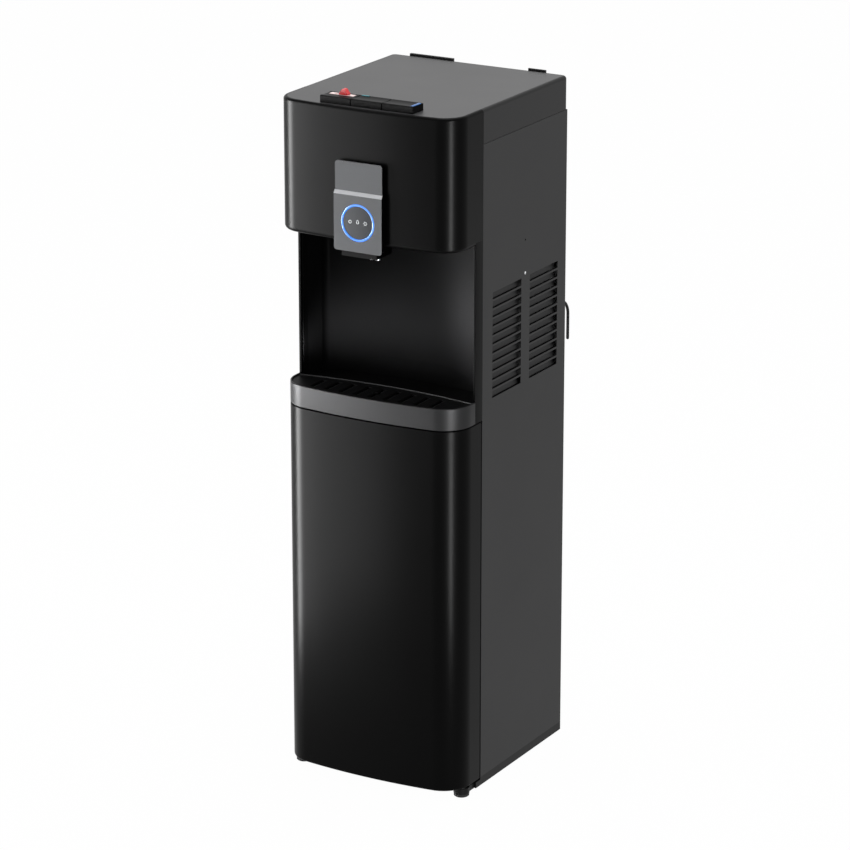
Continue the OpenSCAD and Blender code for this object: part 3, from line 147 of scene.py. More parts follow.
@dataclass(frozen=True)
class Finish:
    """One surface finish: a Principled shader with colour, roughness and relief varied by object-space noise.

    Attributes:
        name: Material name.
        colour: Linear base colour.
        roughness: Mean roughness.
        metallic: 0 for plastics and paints, 1 for bare metal.
        specular: Specular level of the dielectric layer.
        grain: Layout of the relief.
        grain_size: Size of one grain, in metres.
        relief: Height of the relief, in metres.
        spread: How far the colour wanders from its mean, as a share.
        glow: Emission strength.
    """

    name: str
    colour: Colour
    roughness: float
    metallic: float = 0.0
    specular: float = 0.5
    grain: Grain = Grain.EVEN
    grain_size: float = 0.0008
    relief: float = 1e-5
    spread: float = 0.08
    glow: float = 0.0

    def material(self) -> bpy.types.Material:
        """Returns the material, made on first use."""
        made = bpy.data.materials.get(self.name)
        return made if made else self._make()

    def _make(self) -> bpy.types.Material:
        """Builds the node tree. A fine noise gives the relief; its mean with a broad one varies the rest.

        Returns:
            The new material.
        """
        mat = bpy.data.materials.new(self.name)
        mat.use_nodes = True
        tree, link = mat.node_tree, mat.node_tree.links.new
        tree.nodes.clear()
        out = add_node(tree, "OutputMaterial")
        shader = add_node(tree, "BsdfPrincipled", {
            "Metallic": self.metallic, "Specular IOR Level": self.specular})
        link(shader.outputs["BSDF"], out.inputs["Surface"])
        coords = add_node(tree, "TexCoord")
        stretch = add_node(tree, "Mapping", {"Scale": self.grain.value})
        link(coords.outputs["Object"], stretch.inputs["Vector"])
        fine = add_node(tree, "TexNoise", {"Scale": 1.0 / self.grain_size, "Detail": FINE_DETAIL})
        link(stretch.outputs["Vector"], fine.inputs["Vector"])
        broad = add_node(tree, "TexNoise", {"Scale": BROAD_SCALE, "Detail": BROAD_DETAIL})
        link(coords.outputs["Object"], broad.inputs["Vector"])
        blend = add_node(tree, "Mix", {"Factor": 0.5})
        blend.data_type = "FLOAT"
        link(fine.outputs["Fac"], blend.inputs["A"])
        link(broad.outputs["Fac"], blend.inputs["B"])
        link(self._tint(tree, blend.outputs["Result"]), shader.inputs["Base Color"])
        rough = add_node(tree, "MapRange", {
            "From Min": NOISE_LOW, "From Max": NOISE_HIGH,
            "To Min": max(ROUGH_LEAST, self.roughness * (1.0 - ROUGH_SWING)),
            "To Max": min(1.0, self.roughness * (1.0 + ROUGH_SWING))})
        link(blend.outputs["Result"], rough.inputs["Value"])
        link(rough.outputs["Result"], shader.inputs["Roughness"])
        bump = add_node(tree, "Bump", {"Strength": 1.0, "Distance": self.relief})
        link(fine.outputs["Fac"], bump.inputs["Height"])
        link(bump.outputs["Normal"], shader.inputs["Normal"])
        if self.glow:
            shader.inputs["Emission Strength"].default_value = self.glow
            shader.inputs["Emission Color"].default_value = (*self.colour, 1.0)
        return mat

    def _tint(self, tree: bpy.types.NodeTree, noise: bpy.types.NodeSocket) -> bpy.types.NodeSocket:
        """Adds a ramp that turns noise into colours either side of the finish's own.

        Args:
            tree: The node tree that gets it.
            noise: The noise.

        Returns:
            The ramp's colour.
        """
        ramp = add_node(tree, "ValToRGB")
        ends = (NOISE_LOW, 1.0 - self.spread), (NOISE_HIGH, 1.0 + self.spread)
        for element, (position, share) in zip(ramp.color_ramp.elements, ends):
            element.position = position
            element.color = (*(min(1.0, c * share) for c in self.colour), 1.0)
        tree.links.new(noise, ramp.inputs["Fac"])
        return ramp.outputs["Color"]

    def put_on(self, *nodes: str) -> None:
        """Gives this finish to CAD nodes.

        Args:
            nodes: Names of the nodes.
        """
        for name in nodes:
            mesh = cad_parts[name].data
            mesh.materials.clear()
            mesh.materials.append(self.material())
            LOG.info("finish %s on %s", self.name, name)

    def put_on_faces(self, facing: Facing, *nodes: str) -> None:
        """Gives this finish to those faces of CAD nodes that look one way.

        Args:
            facing: Which way.
            nodes: Names of the nodes, which have a finish already.
        """
        for name in nodes:
            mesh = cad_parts[name].data
            mesh.materials.append(self.material())
            normals = np.empty(3 * len(mesh.polygons))
            mesh.polygons.foreach_get("normal", normals)
            slots = np.empty(len(mesh.polygons), np.int32)
            mesh.polygons.foreach_get("material_index", slots)
            slots[facing.value(normals.reshape(-1, 3))] = len(mesh.materials) - 1
            mesh.polygons.foreach_set("material_index", slots)
            LOG.info("finish %s on faces of %s", self.name, name)


SATIN_BLACK = Finish("satin_black_plastic", (0.0008, 0.0008, 0.00085), 0.3, specular=0.045,
                     grain_size=0.0006, relief=2e-6)
RECESS_BLACK = Finish("recess_black_plastic", (0.005, 0.005, 0.0052), 0.4, specular=0.006,
                      grain_size=0.0006, relief=2e-6)
COVE_BLACK = Finish("cove_black_plastic", (0.005, 0.005, 0.0052), 0.7, specular=0.003,
                    grain_size=0.0006, relief=2e-6)
KEY_BLACK = Finish("key_black_plastic", (0.0025, 0.0025, 0.0026), 0.4, specular=0.04,
                   grain_size=0.0007, relief=4e-6)
TOP_BLACK = Finish("textured_black_plastic", (0.02, 0.02, 0.021), 0.42, grain_size=0.0007, relief=1.5e-5)
SKIRT_BLACK = Finish("skirt_black_plastic", (0.006, 0.006, 0.0063), 0.36, specular=0.14,
                     grain_size=0.0006, relief=2e-6)
DEEP_BLACK = Finish("matt_black_plastic", (0.004, 0.004, 0.0042), 0.45, specular=0.12, grain_size=0.0009)
GRILLE_BLACK = Finish("grille_black_plastic", (0.0035, 0.0035, 0.0037), 0.45, specular=0.05,
                      grain_size=0.0007, relief=6e-6)
SIDE_PAINT = Finish("charcoal_powder_coat", (0.0115, 0.0115, 0.012), 0.46, specular=0.2, grain_size=0.0012)
BAND_GREY = Finish("brushed_grey_trim", (0.026, 0.026, 0.027), 0.42, metallic=0.2, specular=0.1,
                   grain=Grain.BRUSHED_X, grain_size=0.0005, relief=4e-6)
# Painted highlight: the face plates' upward edges and ledge get this far brighter metal, so they read as
# catching the light.
PLATE_EDGE_HIGHLIGHT = Finish("painted_highlight_plate_edge", (0.3, 0.305, 0.315), 0.4, metallic=0.6, specular=0.3,
                    grain_size=0.0006, relief=2e-6)
PLATE_SATIN = Finish("brushed_plate", (0.042, 0.0432, 0.0455), 0.42, metallic=0.32, specular=0.1,
                     grain=Grain.BRUSHED_X, grain_size=0.0004, relief=5e-6)
BARE_STEEL = Finish("plain_steel", (0.6, 0.61, 0.62), 0.28, metallic=1.0, grain_size=0.001, relief=4e-6)
ZINC_SHEET = Finish("zinc_coated_sheet", (0.42, 0.43, 0.44), 0.42, metallic=0.8, grain_size=0.006,
                    relief=3e-6, spread=0.16)
COPPER = Finish("copper_tube", (0.72, 0.32, 0.18), 0.32, metallic=1.0, relief=5e-6)
WHITE_ABS = Finish("white_moulding", (0.78, 0.78, 0.76), 0.42, grain_size=0.001, relief=8e-6, spread=0.03)
FOAM = Finish("rigid_foam", (0.85, 0.84, 0.78), 0.9, grain_size=0.003, relief=2e-4, spread=0.06)
RUBBER = Finish("black_rubber", (0.012, 0.012, 0.012), 0.75, specular=0.3, relief=2e-5)
RING_BLUE = Finish("lit_blue_ring", (0.03, 0.21, 0.8), 0.3, glow=0.55, spread=0.2, grain_size=0.004)
DARK_LENS = Finish("dark_display", (0.03, 0.033, 0.038), 0.3, specular=0.15, grain_size=0.001, relief=1e-6)
ICON_PALE = Finish("pale_icon", (0.6, 0.63, 0.65), 0.4, glow=0.4)
ROSE = Finish("rose_insert", (0.85, 0.5, 0.46), 0.3, grain_size=0.001, relief=2e-6)
LOCK_RED = Finish("lock_red", (0.75, 0.015, 0.02), 0.3, grain_size=0.001, relief=2e-6)
TEAL = Finish("teal_mark", (0.01, 0.2, 0.24), 0.35, grain_size=0.001, relief=2e-6)
BLUE = Finish("blue_mark", (0.012, 0.13, 0.42), 0.35, grain_size=0.001, relief=2e-6)


# ---------------------------------------------------------------- surfaces


@dataclass
class Patch:
    """A surface: points as an (n, 3) array and faces as tuples of point numbers."""

    points: Array
    faces: list[tuple[int, ...]]

    def __add__(self, other: Patch) -> Patch:
        """Returns both surfaces as one, the second's point numbers counted on from the first's."""
        moved = [tuple(i + len(self.points) for i in face) for face in other.faces]
        return Patch(np.vstack([self.points, other.points]), self.faces + moved)

    def piece(self, name: str, finish: Finish, body: str, slot: str,
              replaced: Sequence[str] = ()) -> bpy.types.Object:
        """Puts the surface into the scene as a finished, smooth-shaded piece.

        Args:
            name: Piece name.
            finish: Its finish.
            body: The CAD body that it moves with.
            slot: Name of a material slot; not used.
            replaced: CAD nodes that it stands for.

        Returns:
            The new object.
        """
        mesh = bpy.data.meshes.new(name)
        mesh.from_pydata(self.points.tolist(), [], self.faces)
        work = bmesh.new()
        work.from_mesh(mesh)
        bmesh.ops.remove_doubles(work, verts=work.verts, dist=MERGE)
        bmesh.ops.dissolve_degenerate(work, edges=work.edges, dist=SLIVER)
        bmesh.ops.recalc_face_normals(work, faces=work.faces)
        work.to_mesh(mesh)
        work.free()
        mesh.polygons.foreach_set("use_smooth", np.ones(len(mesh.polygons), bool))
        mesh.set_sharp_from_angle(angle=SHARP)
        mesh.materials.append(finish.material())
        made = bpy.data.objects.new(name, mesh)
        bpy.context.scene.collection.objects.link(made)
        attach(made, body)
        if replaced:
            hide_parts(*replaced)
        LOG.info("piece %s: %d faces, on %s", name, len(mesh.polygons), body)
        return made


def depth_y(depth: float | Array) -> float | Array:
    """Y of a depth: the rear plane's Y less the depth."""
    return REAR_Y - depth


def rounded(corners: Sequence[Point], steps: int = 8) -> Array:
    """Closed polygon with arcs at its corners.

    At each corner the arc's centre lies on the bisector at radius over the sine of half the angle, and the
    arc turns from one foot to the other by weighting the two foot vectors with sines.

    Args:
        corners: Rows of (u, v, radius).
        steps: Points per arc.

    Returns:
        Points, as an (n, 2) array.
    """
    data = np.array(corners, float)
    here, radius = data[:, :2], data[:, 2:]
    before, after = np.roll(here, 1, 0) - here, np.roll(here, -1, 0) - here
    before /= np.linalg.norm(before, axis=1, keepdims=True)
    after /= np.linalg.norm(after, axis=1, keepdims=True)
    half = np.arccos(np.clip((before * after).sum(1, keepdims=True), -1.0, 1.0)) / 2
    middle = before + after
    middle /= np.linalg.norm(middle, axis=1, keepdims=True)
    centre = here + middle * radius / np.sin(half)
    reach = radius / np.tan(half)
    first, last = here + before * reach - centre, here + after * reach - centre
    turn = (np.pi - 2 * half)[:, :, None]
    t = np.linspace(0.0, 1.0, steps)[None, :, None]
    arcs = (np.sin((1 - t) * turn) * first[:, None] + np.sin(t * turn) * last[:, None]) / np.sin(turn)
    points = (centre[:, None] + arcs).reshape(-1, 2)
    keep = np.linalg.norm(points - np.roll(points, 1, 0), axis=1) > MERGE
    return points[keep]


def woven(grid: Array, close_u: bool, close_v: bool, cap: bool) -> Patch:
    """Joins a grid of points into quads, point (i, j) to its neighbours i + 1 and j + 1.

    Args:
        grid: Points, as a (u, v, 3) array.
        close_u: Whether the last row joins the first.
        close_v: Whether the last column joins the first.
        cap: Whether the first and last rows are filled with one face each.

    Returns:
        The surface.
    """
    rows, columns = grid.shape[:2]
    i = np.arange(rows if close_u else rows - 1)[:, None]
    j = np.arange(columns if close_v else columns - 1)[None, :]
    up, along = (i + 1) % rows, (j + 1) % columns
    quads = np.stack([i * columns + j, i * columns + along, up * columns + along, up * columns + j], -1)
    faces = [tuple(face) for face in quads.reshape(-1, 4).tolist()]
    if cap:
        faces.append(tuple(range(columns)))
        faces.append(tuple(range((rows - 1) * columns, rows * columns)))
    return Patch(grid.reshape(-1, 3), faces)


def swept(section: Array, path: Array, outward: Array) -> Patch:
    """Carries a section along an open, level path: each point is the path's, less outward times inset.

    Args:
        section: Closed polygon of (inset, height).
        path: (n, 2) points.
        outward: (n, 2) unit vectors.

    Returns:
        The surface, closed by a face at either end.
    """
    plan = path[:, None] - outward[:, None] * section[None, :, :1]
    height = np.broadcast_to(section[None, :, 1:], (*plan.shape[:2], 1))
    return woven(np.concatenate([plan, height], -1), False, True, True)


def stacked(outline: Array, rings: Sequence[Span]) -> Patch:
    """Stacks level copies of an outline, each drawn in along the outline's own inward normals.

    Args:
        outline: (n, 2) points, anticlockwise.
        rings: Rows of (inset, height), from the lowest.

    Returns:
        The surface, closed by a face at either end.
    """
    ahead = np.roll(outline, -1, 0) - outline
    ahead /= np.linalg.norm(ahead, axis=1, keepdims=True)
    side = np.stack([-ahead[:, 1], ahead[:, 0]], 1)
    inward = side + np.roll(side, 1, 0)
    inward /= 0.5 * (inward * inward).sum(1, keepdims=True)
    steps = np.array(rings, float)
    plan = outline[None] + inward[None] * steps[:, :1, None]
    height = np.broadcast_to(steps[:, 1:, None], (*plan.shape[:2], 1))
    return woven(np.concatenate([plan, height], -1), False, True, True)


def edge_rings(low: float, high: float, radius: float, steps: int = 5) -> list[Span]:
    """Works out the rings of a slab with rounded edges: a quarter circle at its foot, mirrored at its top.

    Args:
        low: Height of the underside.
        high: Height of the top.
        radius: Radius of the edges.
        steps: Rings per edge.

    Returns:
        Rows of (inset, height).
    """
    angle = np.linspace(0.0, np.pi / 2, steps)
    inset, rise = radius * (1 - np.sin(angle)), radius * (1 - np.cos(angle))
    foot = [(a, low + b) for a, b in zip(inset, rise)]
    return foot + [(a, high - (b - low)) for a, b in reversed(foot)]


def bevelled_box(x: Span, depth: Span, z: Span, radius: float) -> Patch:
    """Makes a box with all its edges rounded: its rounded plan, stacked with rounded rings.

    Args:
        x: Its two sides.
        depth: Its back and its front.
        z: Its underside and its top.
        radius: Radius of the edges.

    Returns:
        The surface.
    """
    near, far = depth_y(depth[1]), depth_y(depth[0])
    outline = rounded([(x[0], near, radius), (x[1], near, radius), (x[1], far, radius),
                       (x[0], far, radius)], steps=5)
    return stacked(outline, edge_rings(z[0], z[1], radius))


class Axis(Enum):
    """Axis of a turned surface; each value puts the circle's two coordinates and the height in order."""

    UPRIGHT = member(lambda across, up, high: (across, up, high))
    FORWARDS = member(lambda across, up, high: (across, -high, up))


def turned(profile: Array, centre: Point, axis: Axis, steps: int = 96) -> Patch:
    """Turns a closed profile of (radius, height) round an axis: radius times cosine and sine of the angle.

    Args:
        profile: (n, 2) points.
        centre: Origin of the axis.
        axis: Its direction, along which height is counted.
        steps: Angles round the axis.

    Returns:
        The surface.
    """
    angle = np.linspace(0.0, 2 * np.pi, steps, endpoint=False)[:, None]
    across, up = profile[None, :, 0] * np.cos(angle), profile[None, :, 0] * np.sin(angle)
    high = np.broadcast_to(profile[None, :, 1], across.shape)
    return woven(np.stack(axis.value(across, up, high), -1) + np.array(centre, float), True, True, False)


@dataclass(frozen=True)
class BowedPlan:
    """Plan of a cabinet front: straight sides, round corners and a shallow bow between them.

    Attributes:
        half_w: Half of the width.
        front: Depth of the bow's foremost point.
        back: Depth at which the sides end.
        corner_r: Radius of the corners.
        fall: How far the bow falls back before the corners.
    """

    half_w: float
    front: float
    back: float
    corner_r: float
    fall: float = BOW_FALL

    def path(self, inset: float = 0.0) -> tuple[Array, Array]:
        """Walks the plan from the right side's back end, round the front, to the left side's back end.

        The bow's radius is the corner's, plus half of the sum of the fall and the squared half distance
        between the corners' centres over the fall; each arc is its centre plus radius times direction. A
        point a short way behind each corner keeps the shading of the straight side flat.

        Args:
            inset: How far inside the outer face to walk.

        Returns:
            Points and outward directions, as (n, 2) arrays.
        """
        run = self.half_w - self.corner_r
        bow_r = self.corner_r + (run * run / self.fall + self.fall) / 2
        corner_y = depth_y(self.front - self.corner_r - self.fall)
        bow_y = depth_y(self.front - bow_r)
        tilt = -math.atan2(bow_y - corner_y, run)
        right = np.concatenate([[0.0, 0.0], np.linspace(0.0, tilt, CORNER_STEPS)])
        bow = np.linspace(tilt, -np.pi - tilt, BOW_STEPS)[1:]
        left = np.concatenate([np.linspace(-np.pi - tilt, -np.pi, CORNER_STEPS)[1:], [-np.pi, -np.pi]])
        angle, counts = np.concatenate([right, bow, left]), [len(right), len(bow), len(left)]
        centre = np.repeat([[run, corner_y], [0.0, bow_y], [-run, corner_y]], counts, axis=0)
        radius = np.repeat([self.corner_r, bow_r, self.corner_r], counts)
        outward = np.stack([np.cos(angle), np.sin(angle)], 1)
        points = centre + outward * (radius - inset)[:, None]
        points[[0, -1], 1] = depth_y(self.back)
        points[[1, -2], 1] = corner_y + RUN_UP
        return points, outward


# ---------------------------------------------------------------- sub-assemblies


@dataclass
class Nose:
    """Front moulding over the recess: bowed shell, underside, side strips and their lips.

    Attributes:
        wall: Wall thickness.
        corner_r: Radius of the plan's corners.
        edge_r: Radius of the lower edge.
        flange: Width of the flange along the lower edge.
        rim: Width of the rim round the top.
        rim_r: Radius of the rim's outer edge.
        ledge_w: Width of the ledge inside the rim.
        ledge: How far the ledge's underside and its top lie below the rim.
        strip_front: Depth of the strips' front.
        strip_in: X of the strips' inner face.
        strip_rise: How far the strips reach up into the shell.
        strip_r: Radius of the strips' outer front edge.
        lip: Width of the strips' front edge.
        liner_front: Depth of the front of the recess's liner.
        seat: How far the strips' step lies before the liner.
        small_r: Radius of the sharp edges.
        notch_half: Half of the width of the notch for the spout.
        notch_back: Depth of the notch's back.
    """

    wall: float = 0.0028
    corner_r: float = 0.037
    edge_r: float = 0.007
    flange: float = 0.012
    rim: float = 0.005
    rim_r: float = 0.0044
    ledge_w: float = 0.0025
    ledge: Span = (0.0045, 0.0025)
    strip_front: float = 0.2725
    strip_in: float = 0.1461
    strip_rise: float = 0.006
    strip_r: float = 0.0012
    lip: float = 0.004
    liner_front: float = 0.2678
    seat: float = 0.0002
    small_r: float = 0.0004
    notch_half: float = 0.0294
    notch_back: float = 0.2856

    def build(self) -> None:
        """Builds the moulding in place of its CAD node."""
        shape = self._shell() + self._underside() + self._strip(-1.0) + self._strip(1.0)
        shape.piece("nose_shell", SATIN_BLACK, "cabinet", "satin_black", ["front_panel"])

    def _shell(self) -> Patch:
        """Sweeps the bowed wall with its rim, ledge and bottom flange.

        Returns:
            The surface.
        """
        t, rim, bottom = self.wall, self.rim, NOSE_BOTTOM
        ledge_in, ledge_low, ledge_high = rim + self.ledge_w, TOP - self.ledge[0], TOP - self.ledge[1]
        section = rounded([
            (0.0, bottom, self.edge_r), (self.flange, bottom, 0.0), (self.flange, bottom + t, 0.0),
            (t, bottom + t, 0.0), (t, ledge_low, 0.0), (ledge_in, ledge_low, 0.0),
            (ledge_in, ledge_high, 0.0), (rim, ledge_high, 0.0), (rim, TOP, self.small_r),
            (0.0, TOP, self.rim_r)], steps=9)
        plan = BowedPlan(HALF_W, NOSE_FRONT, SEAM_DEPTH, self.corner_r)
        return swept(section, *plan.path())

    def _underside(self) -> Patch:
        """Stacks the floor of the moulding, inside its flange, with the notch for the spout.

        Returns:
            The surface.
        """
        plan = BowedPlan(HALF_W, NOSE_FRONT, self.liner_front, self.corner_r)
        edge, _ = plan.path(self.flange)
        edge = edge[edge[:, 1] <= depth_y(self.liner_front) + TOUCH][::-1]
        left, right = edge[edge[:, 0] < -self.notch_half], edge[edge[:, 0] > self.notch_half]
        notch_y = depth_y(self.notch_back)
        notch = np.array([[-self.notch_half, left[-1, 1]], [-self.notch_half, notch_y],
                          [self.notch_half, notch_y], [self.notch_half, right[0, 1]]])
        outline = np.vstack([left, notch, right])
        return stacked(outline, [(0.0, NOSE_BOTTOM), (0.0, NOSE_BOTTOM + self.wall)])

    def _strip(self, side: float) -> Patch:
        """Stacks the strip beside the recess with its lip.

        Args:
            side: 1 for the right, -1 for the left.

        Returns:
            The surface.
        """
        depths = (self.strip_front, self.liner_front + self.seat, SEAM_DEPTH)
        front, step, back = (depth_y(depth) for depth in depths)
        inner, lip = self.strip_in, HALF_W - self.lip
        outline = rounded([(HALF_W, back, 0.0), (inner, back, 0.0), (inner, step, 0.0), (lip, step, 0.0),
                           (lip, front, self.small_r), (HALF_W, front, self.strip_r)], steps=6)
        if side < 0:
            outline = (outline * [-1.0, 1.0])[::-1]
        return stacked(outline[::-1], [(0.0, BAND_BOTTOM), (0.0, NOSE_BOTTOM + self.strip_rise)])


@dataclass
class Door:
    """Bowed outer skin of the bottle door: wall, folded edges, top and bottom.

    Attributes:
        bottom: Height of its lower edge.
        top: Height of its upper edge.
        wall: Wall thickness.
        flange: Width of the folded edges.
        back: Depth at which the skin ends.
        corner_r: Radius of the plan's corners.
        edge_r: Radius of the lower edge; the upper one has half of it.
        fold_r: Inner radius of the folds.
    """

    bottom: float = 0.016
    top: float = 0.5745
    wall: float = 0.0025
    flange: float = 0.012
    back: float = 0.2555
    corner_r: float = DOOR_CORNER_R
    edge_r: float = 0.003
    fold_r: float = 0.0005

    def build(self) -> None:
        """Builds the skin in place of its CAD node."""
        t, low, high, wide = self.wall, self.bottom, self.top, self.flange
        section = rounded([
            (0.0, low, self.edge_r), (wide, low, 0.0), (wide, low + t, 0.0), (t, low + t, self.fold_r),
            (t, high - t, self.fold_r), (wide, high - t, 0.0), (wide, high, 0.0),
            (0.0, high, self.edge_r / 2)])
        plan = BowedPlan(HALF_W, DOOR_FRONT, self.back, self.corner_r)
        shape = swept(section, *plan.path())
        outline, _ = plan.path(wide)
        for z in (low, high - t):
            shape = shape + stacked(outline[::-1], [(0.0, z), (0.0, z + t)])
        shape.piece("door_shell", SATIN_BLACK, "door", "satin_black", ["door_skin"])


@dataclass
class DripTray:
    """Grey band round the drip tray and the thin rim along its curved back.

    Attributes:
        wall: Thickness of the band.
        back: Depth at which the band ends.
        corner_r: Radius of the plan's corners.
        edge_r: Radii of the band's edges: lower outer, lower inner, upper inner, upper outer.
        rim_w: Width of the rim.
        rim_h: Height of the rim.
        rim_drop: How far the rim lies below the band's top.
        rim_edge_r: Radii of the rim's lower and upper edges.
        rim_back: Depth of the rim's hindmost point.
        rim_r: Radius of its arc.
        rim_half: Half of its width across the tray.
        rim_steps: Points along the arc.
    """

    wall: float = 0.0025
    back: float = 0.2729
    corner_r: float = DOOR_CORNER_R
    edge_r: tuple[float, float, float, float] = (0.0006, 0.0003, 0.0005, 0.0012)
    rim_w: float = 0.0022
    rim_h: float = 0.0034
    rim_drop: float = 0.0006
    rim_edge_r: Span = (0.0003, 0.0006)
    rim_back: float = 0.2614
    rim_r: float = 0.7996
    rim_half: float = 0.1458
    rim_steps: int = 49

    def build(self) -> None:
        """Builds the band in place of its CAD node."""
        section = self._bar(self.wall, (BAND_BOTTOM, BAND_TOP), self.edge_r, steps=7)
        plan = BowedPlan(HALF_W, DOOR_FRONT, self.back, self.corner_r)
        (swept(section, *plan.path()) + self._rim()).piece(
            "tray_band_shell", BAND_GREY, "tray", "band_grey", ["tray_band"])

    def _bar(self, width: float, z: Span, radii: Sequence[float], steps: int) -> Array:
        """Makes an upright section with rounded edges.

        Args:
            width: Its width, from an inset of 0.
            z: Its underside and its top.
            radii: Radii of lower outer, lower inner, upper inner and upper outer edge.
            steps: Points per edge.

        Returns:
            Points, as an (n, 2) array.
        """
        corners = ((0.0, z[0]), (width, z[0]), (width, z[1]), (0.0, z[1]))
        return rounded([(*corner, radius) for corner, radius in zip(corners, radii)], steps)

    def _rim(self) -> Patch:
        """Sweeps the back rim: a small section on an arc, centre plus radius times direction.

        Returns:
            The surface.
        """
        high = BAND_TOP - self.rim_drop
        low_r, high_r = self.rim_edge_r
        section = self._bar(self.rim_w, (high - self.rim_h, high), (low_r, low_r, high_r, high_r), steps=5)
        reach = math.asin(self.rim_half / self.rim_r)
        angle = np.linspace(-reach, reach, self.rim_steps)
        outward = np.stack([np.sin(angle), np.cos(angle)], 1)
        centre = np.array([0.0, depth_y(self.rim_back + self.rim_r)])
        return swept(section, centre + outward * self.rim_r, outward)


@dataclass
class Grille:
    """Drip grille: a thin plate between the bowed front and the curved back, with slots and a drain hole.

    Attributes:
        inset: Gap to the band's outer face.
        side_gap: Further gap at the sides.
        corner_r: Radius of the plan's corners.
        back: Depth of the curved back's hindmost point, before the inset.
        back_r: Radius of the curved back, before the inset.
        top: Height of the top.
        thick: Thickness of the plate.
        slots: Number of slots.
        pitch: Distance from one slot to the next.
        slot_w: Width of a slot.
        slot_from: Share of the depth left whole behind the slots, and again in front of them.
        hole_r: Radius of the drain hole in the middle slot.
        rows: Rows of the grid from back to front.
        end_columns: Columns of the grid outside the outermost slots, on each side.
    """

    inset: float = 0.003
    side_gap: float = 0.0007
    corner_r: float = DOOR_CORNER_R
    back: float = 0.261
    back_r: float = 0.8
    top: float = 0.6064
    thick: float = 0.0026
    slots: int = 9
    pitch: float = 0.025
    slot_w: float = 0.0052
    slot_from: float = 0.19
    hole_r: float = 0.0058
    rows: int = 97
    end_columns: int = 22

    def build(self) -> None:
        """Builds the plate in place of its CAD node.

        A point's Y is a weighted mean of the back and front edge at its X. Slot quads are left out, and the
        middle slot's sides swell into the drain hole's circle.
        """
        middles = (np.arange(self.slots) - (self.slots - 1) / 2) * self.pitch
        x = self._columns(middles)
        ends = [self.slot_from, 1 - self.slot_from]
        share = np.unique(np.concatenate([np.linspace(0.0, 1.0, self.rows), ends]))
        far, near = self._reach(x)
        y = far[:, None] + (near - far)[:, None] * share[None]
        across = np.repeat(x[:, None], len(share), 1)
        centre_y = (far.max() + near.min()) / 2
        swell = np.sqrt(np.clip(self.hole_r**2 - (y - centre_y) ** 2, 0.0, None))
        edge = np.abs(np.abs(across) - self.slot_w / 2) < TOUCH
        across = np.where(edge, np.sign(across) * np.maximum(np.abs(across), swell), across)
        grid = np.stack([across, y, np.full_like(y, self.top)], -1)
        plate = woven(grid, False, False, False)
        column, row = (x[:-1] + x[1:]) / 2, (share[:-1] + share[1:]) / 2
        in_slot = (np.abs(column[:, None] - middles[None]) < self.slot_w / 2).any(1)
        open_quad = in_slot[:, None] & ((row > ends[0]) & (row < ends[1]))[None]
        plate.faces = [face for face, gone in zip(plate.faces, open_quad.ravel().tolist()) if not gone]
        made = plate.piece("drip_grille", GRILLE_BLACK, "grille", "black_shell", ["tray_grille"])
        wall = made.modifiers.new("wall", "SOLIDIFY")
        wall.thickness = self.thick
        wall.offset = -1.0

    def _columns(self, middles: Array) -> Array:
        """Lays out the grid's columns: sides and middle of each slot, quarters of each land, and the ends.

        The ends' columns draw closer together towards the plate's sides, as the sine of evenly spaced angles.

        Args:
            middles: X of the slots' middles.

        Returns:
            X of the columns, in order.
        """
        sides = (middles[:, None] + np.array([-0.5, 0.0, 0.5]) * self.slot_w).ravel()
        lands = (middles[:-1, None] + np.array([0.25, 0.5, 0.75]) * self.pitch).ravel()
        first, last = middles[-1] + self.slot_w, HALF_W - self.inset - self.side_gap
        ends = first + np.sin(np.linspace(0.0, np.pi / 2, self.end_columns)) * (last - first)
        return np.sort(np.concatenate([sides, lands, ends, -ends]))

    def _reach(self, x: Array) -> tuple[Array, Array]:
        """Finds the plate's edges: the back's circle, and the bowed plan read off between its points.

        Args:
            x: X of the columns.

        Returns:
            Y of the back and of the front edge at each.
        """
        plan, _ = BowedPlan(HALF_W, DOOR_FRONT, self.back, self.corner_r).path(self.inset)
        front = plan[1:-1]
        order = np.argsort(front[:, 0])
        near = np.interp(x, front[order, 0], front[order, 1])
        radius = self.back_r - self.inset
        far = depth_y(self.back + self.back_r) + np.sqrt(radius * radius - x * x)
        return far, near


@dataclass
class LouvreShadeSheets:
    """Thin dark sheets behind the louvres of both side panels: painted shade, so that the slots read dark.

    Attributes:
        x: Inner and outer face of the right one.
        depth: Back and front.
        z: Lower and upper edge.
        edge_r: Radius of the edges.
    """

    x: Span = (0.14015, 0.14045)
    depth: Span = (0.075, 0.2222)
    z: Span = (0.597, 0.769)
    edge_r: float = 0.0001

    def build(self) -> None:
        """Builds both screens as one piece."""
        right = bevelled_box(self.x, self.depth, self.z, self.edge_r)
        left = bevelled_box((-self.x[1], -self.x[0]), self.depth, self.z, self.edge_r)
        # Painted shade: dark sheets behind the slots, where there is only shade.
        (right + left).piece("louvre_shade_sheets", DEEP_BLACK, "cabinet", "black_shell")


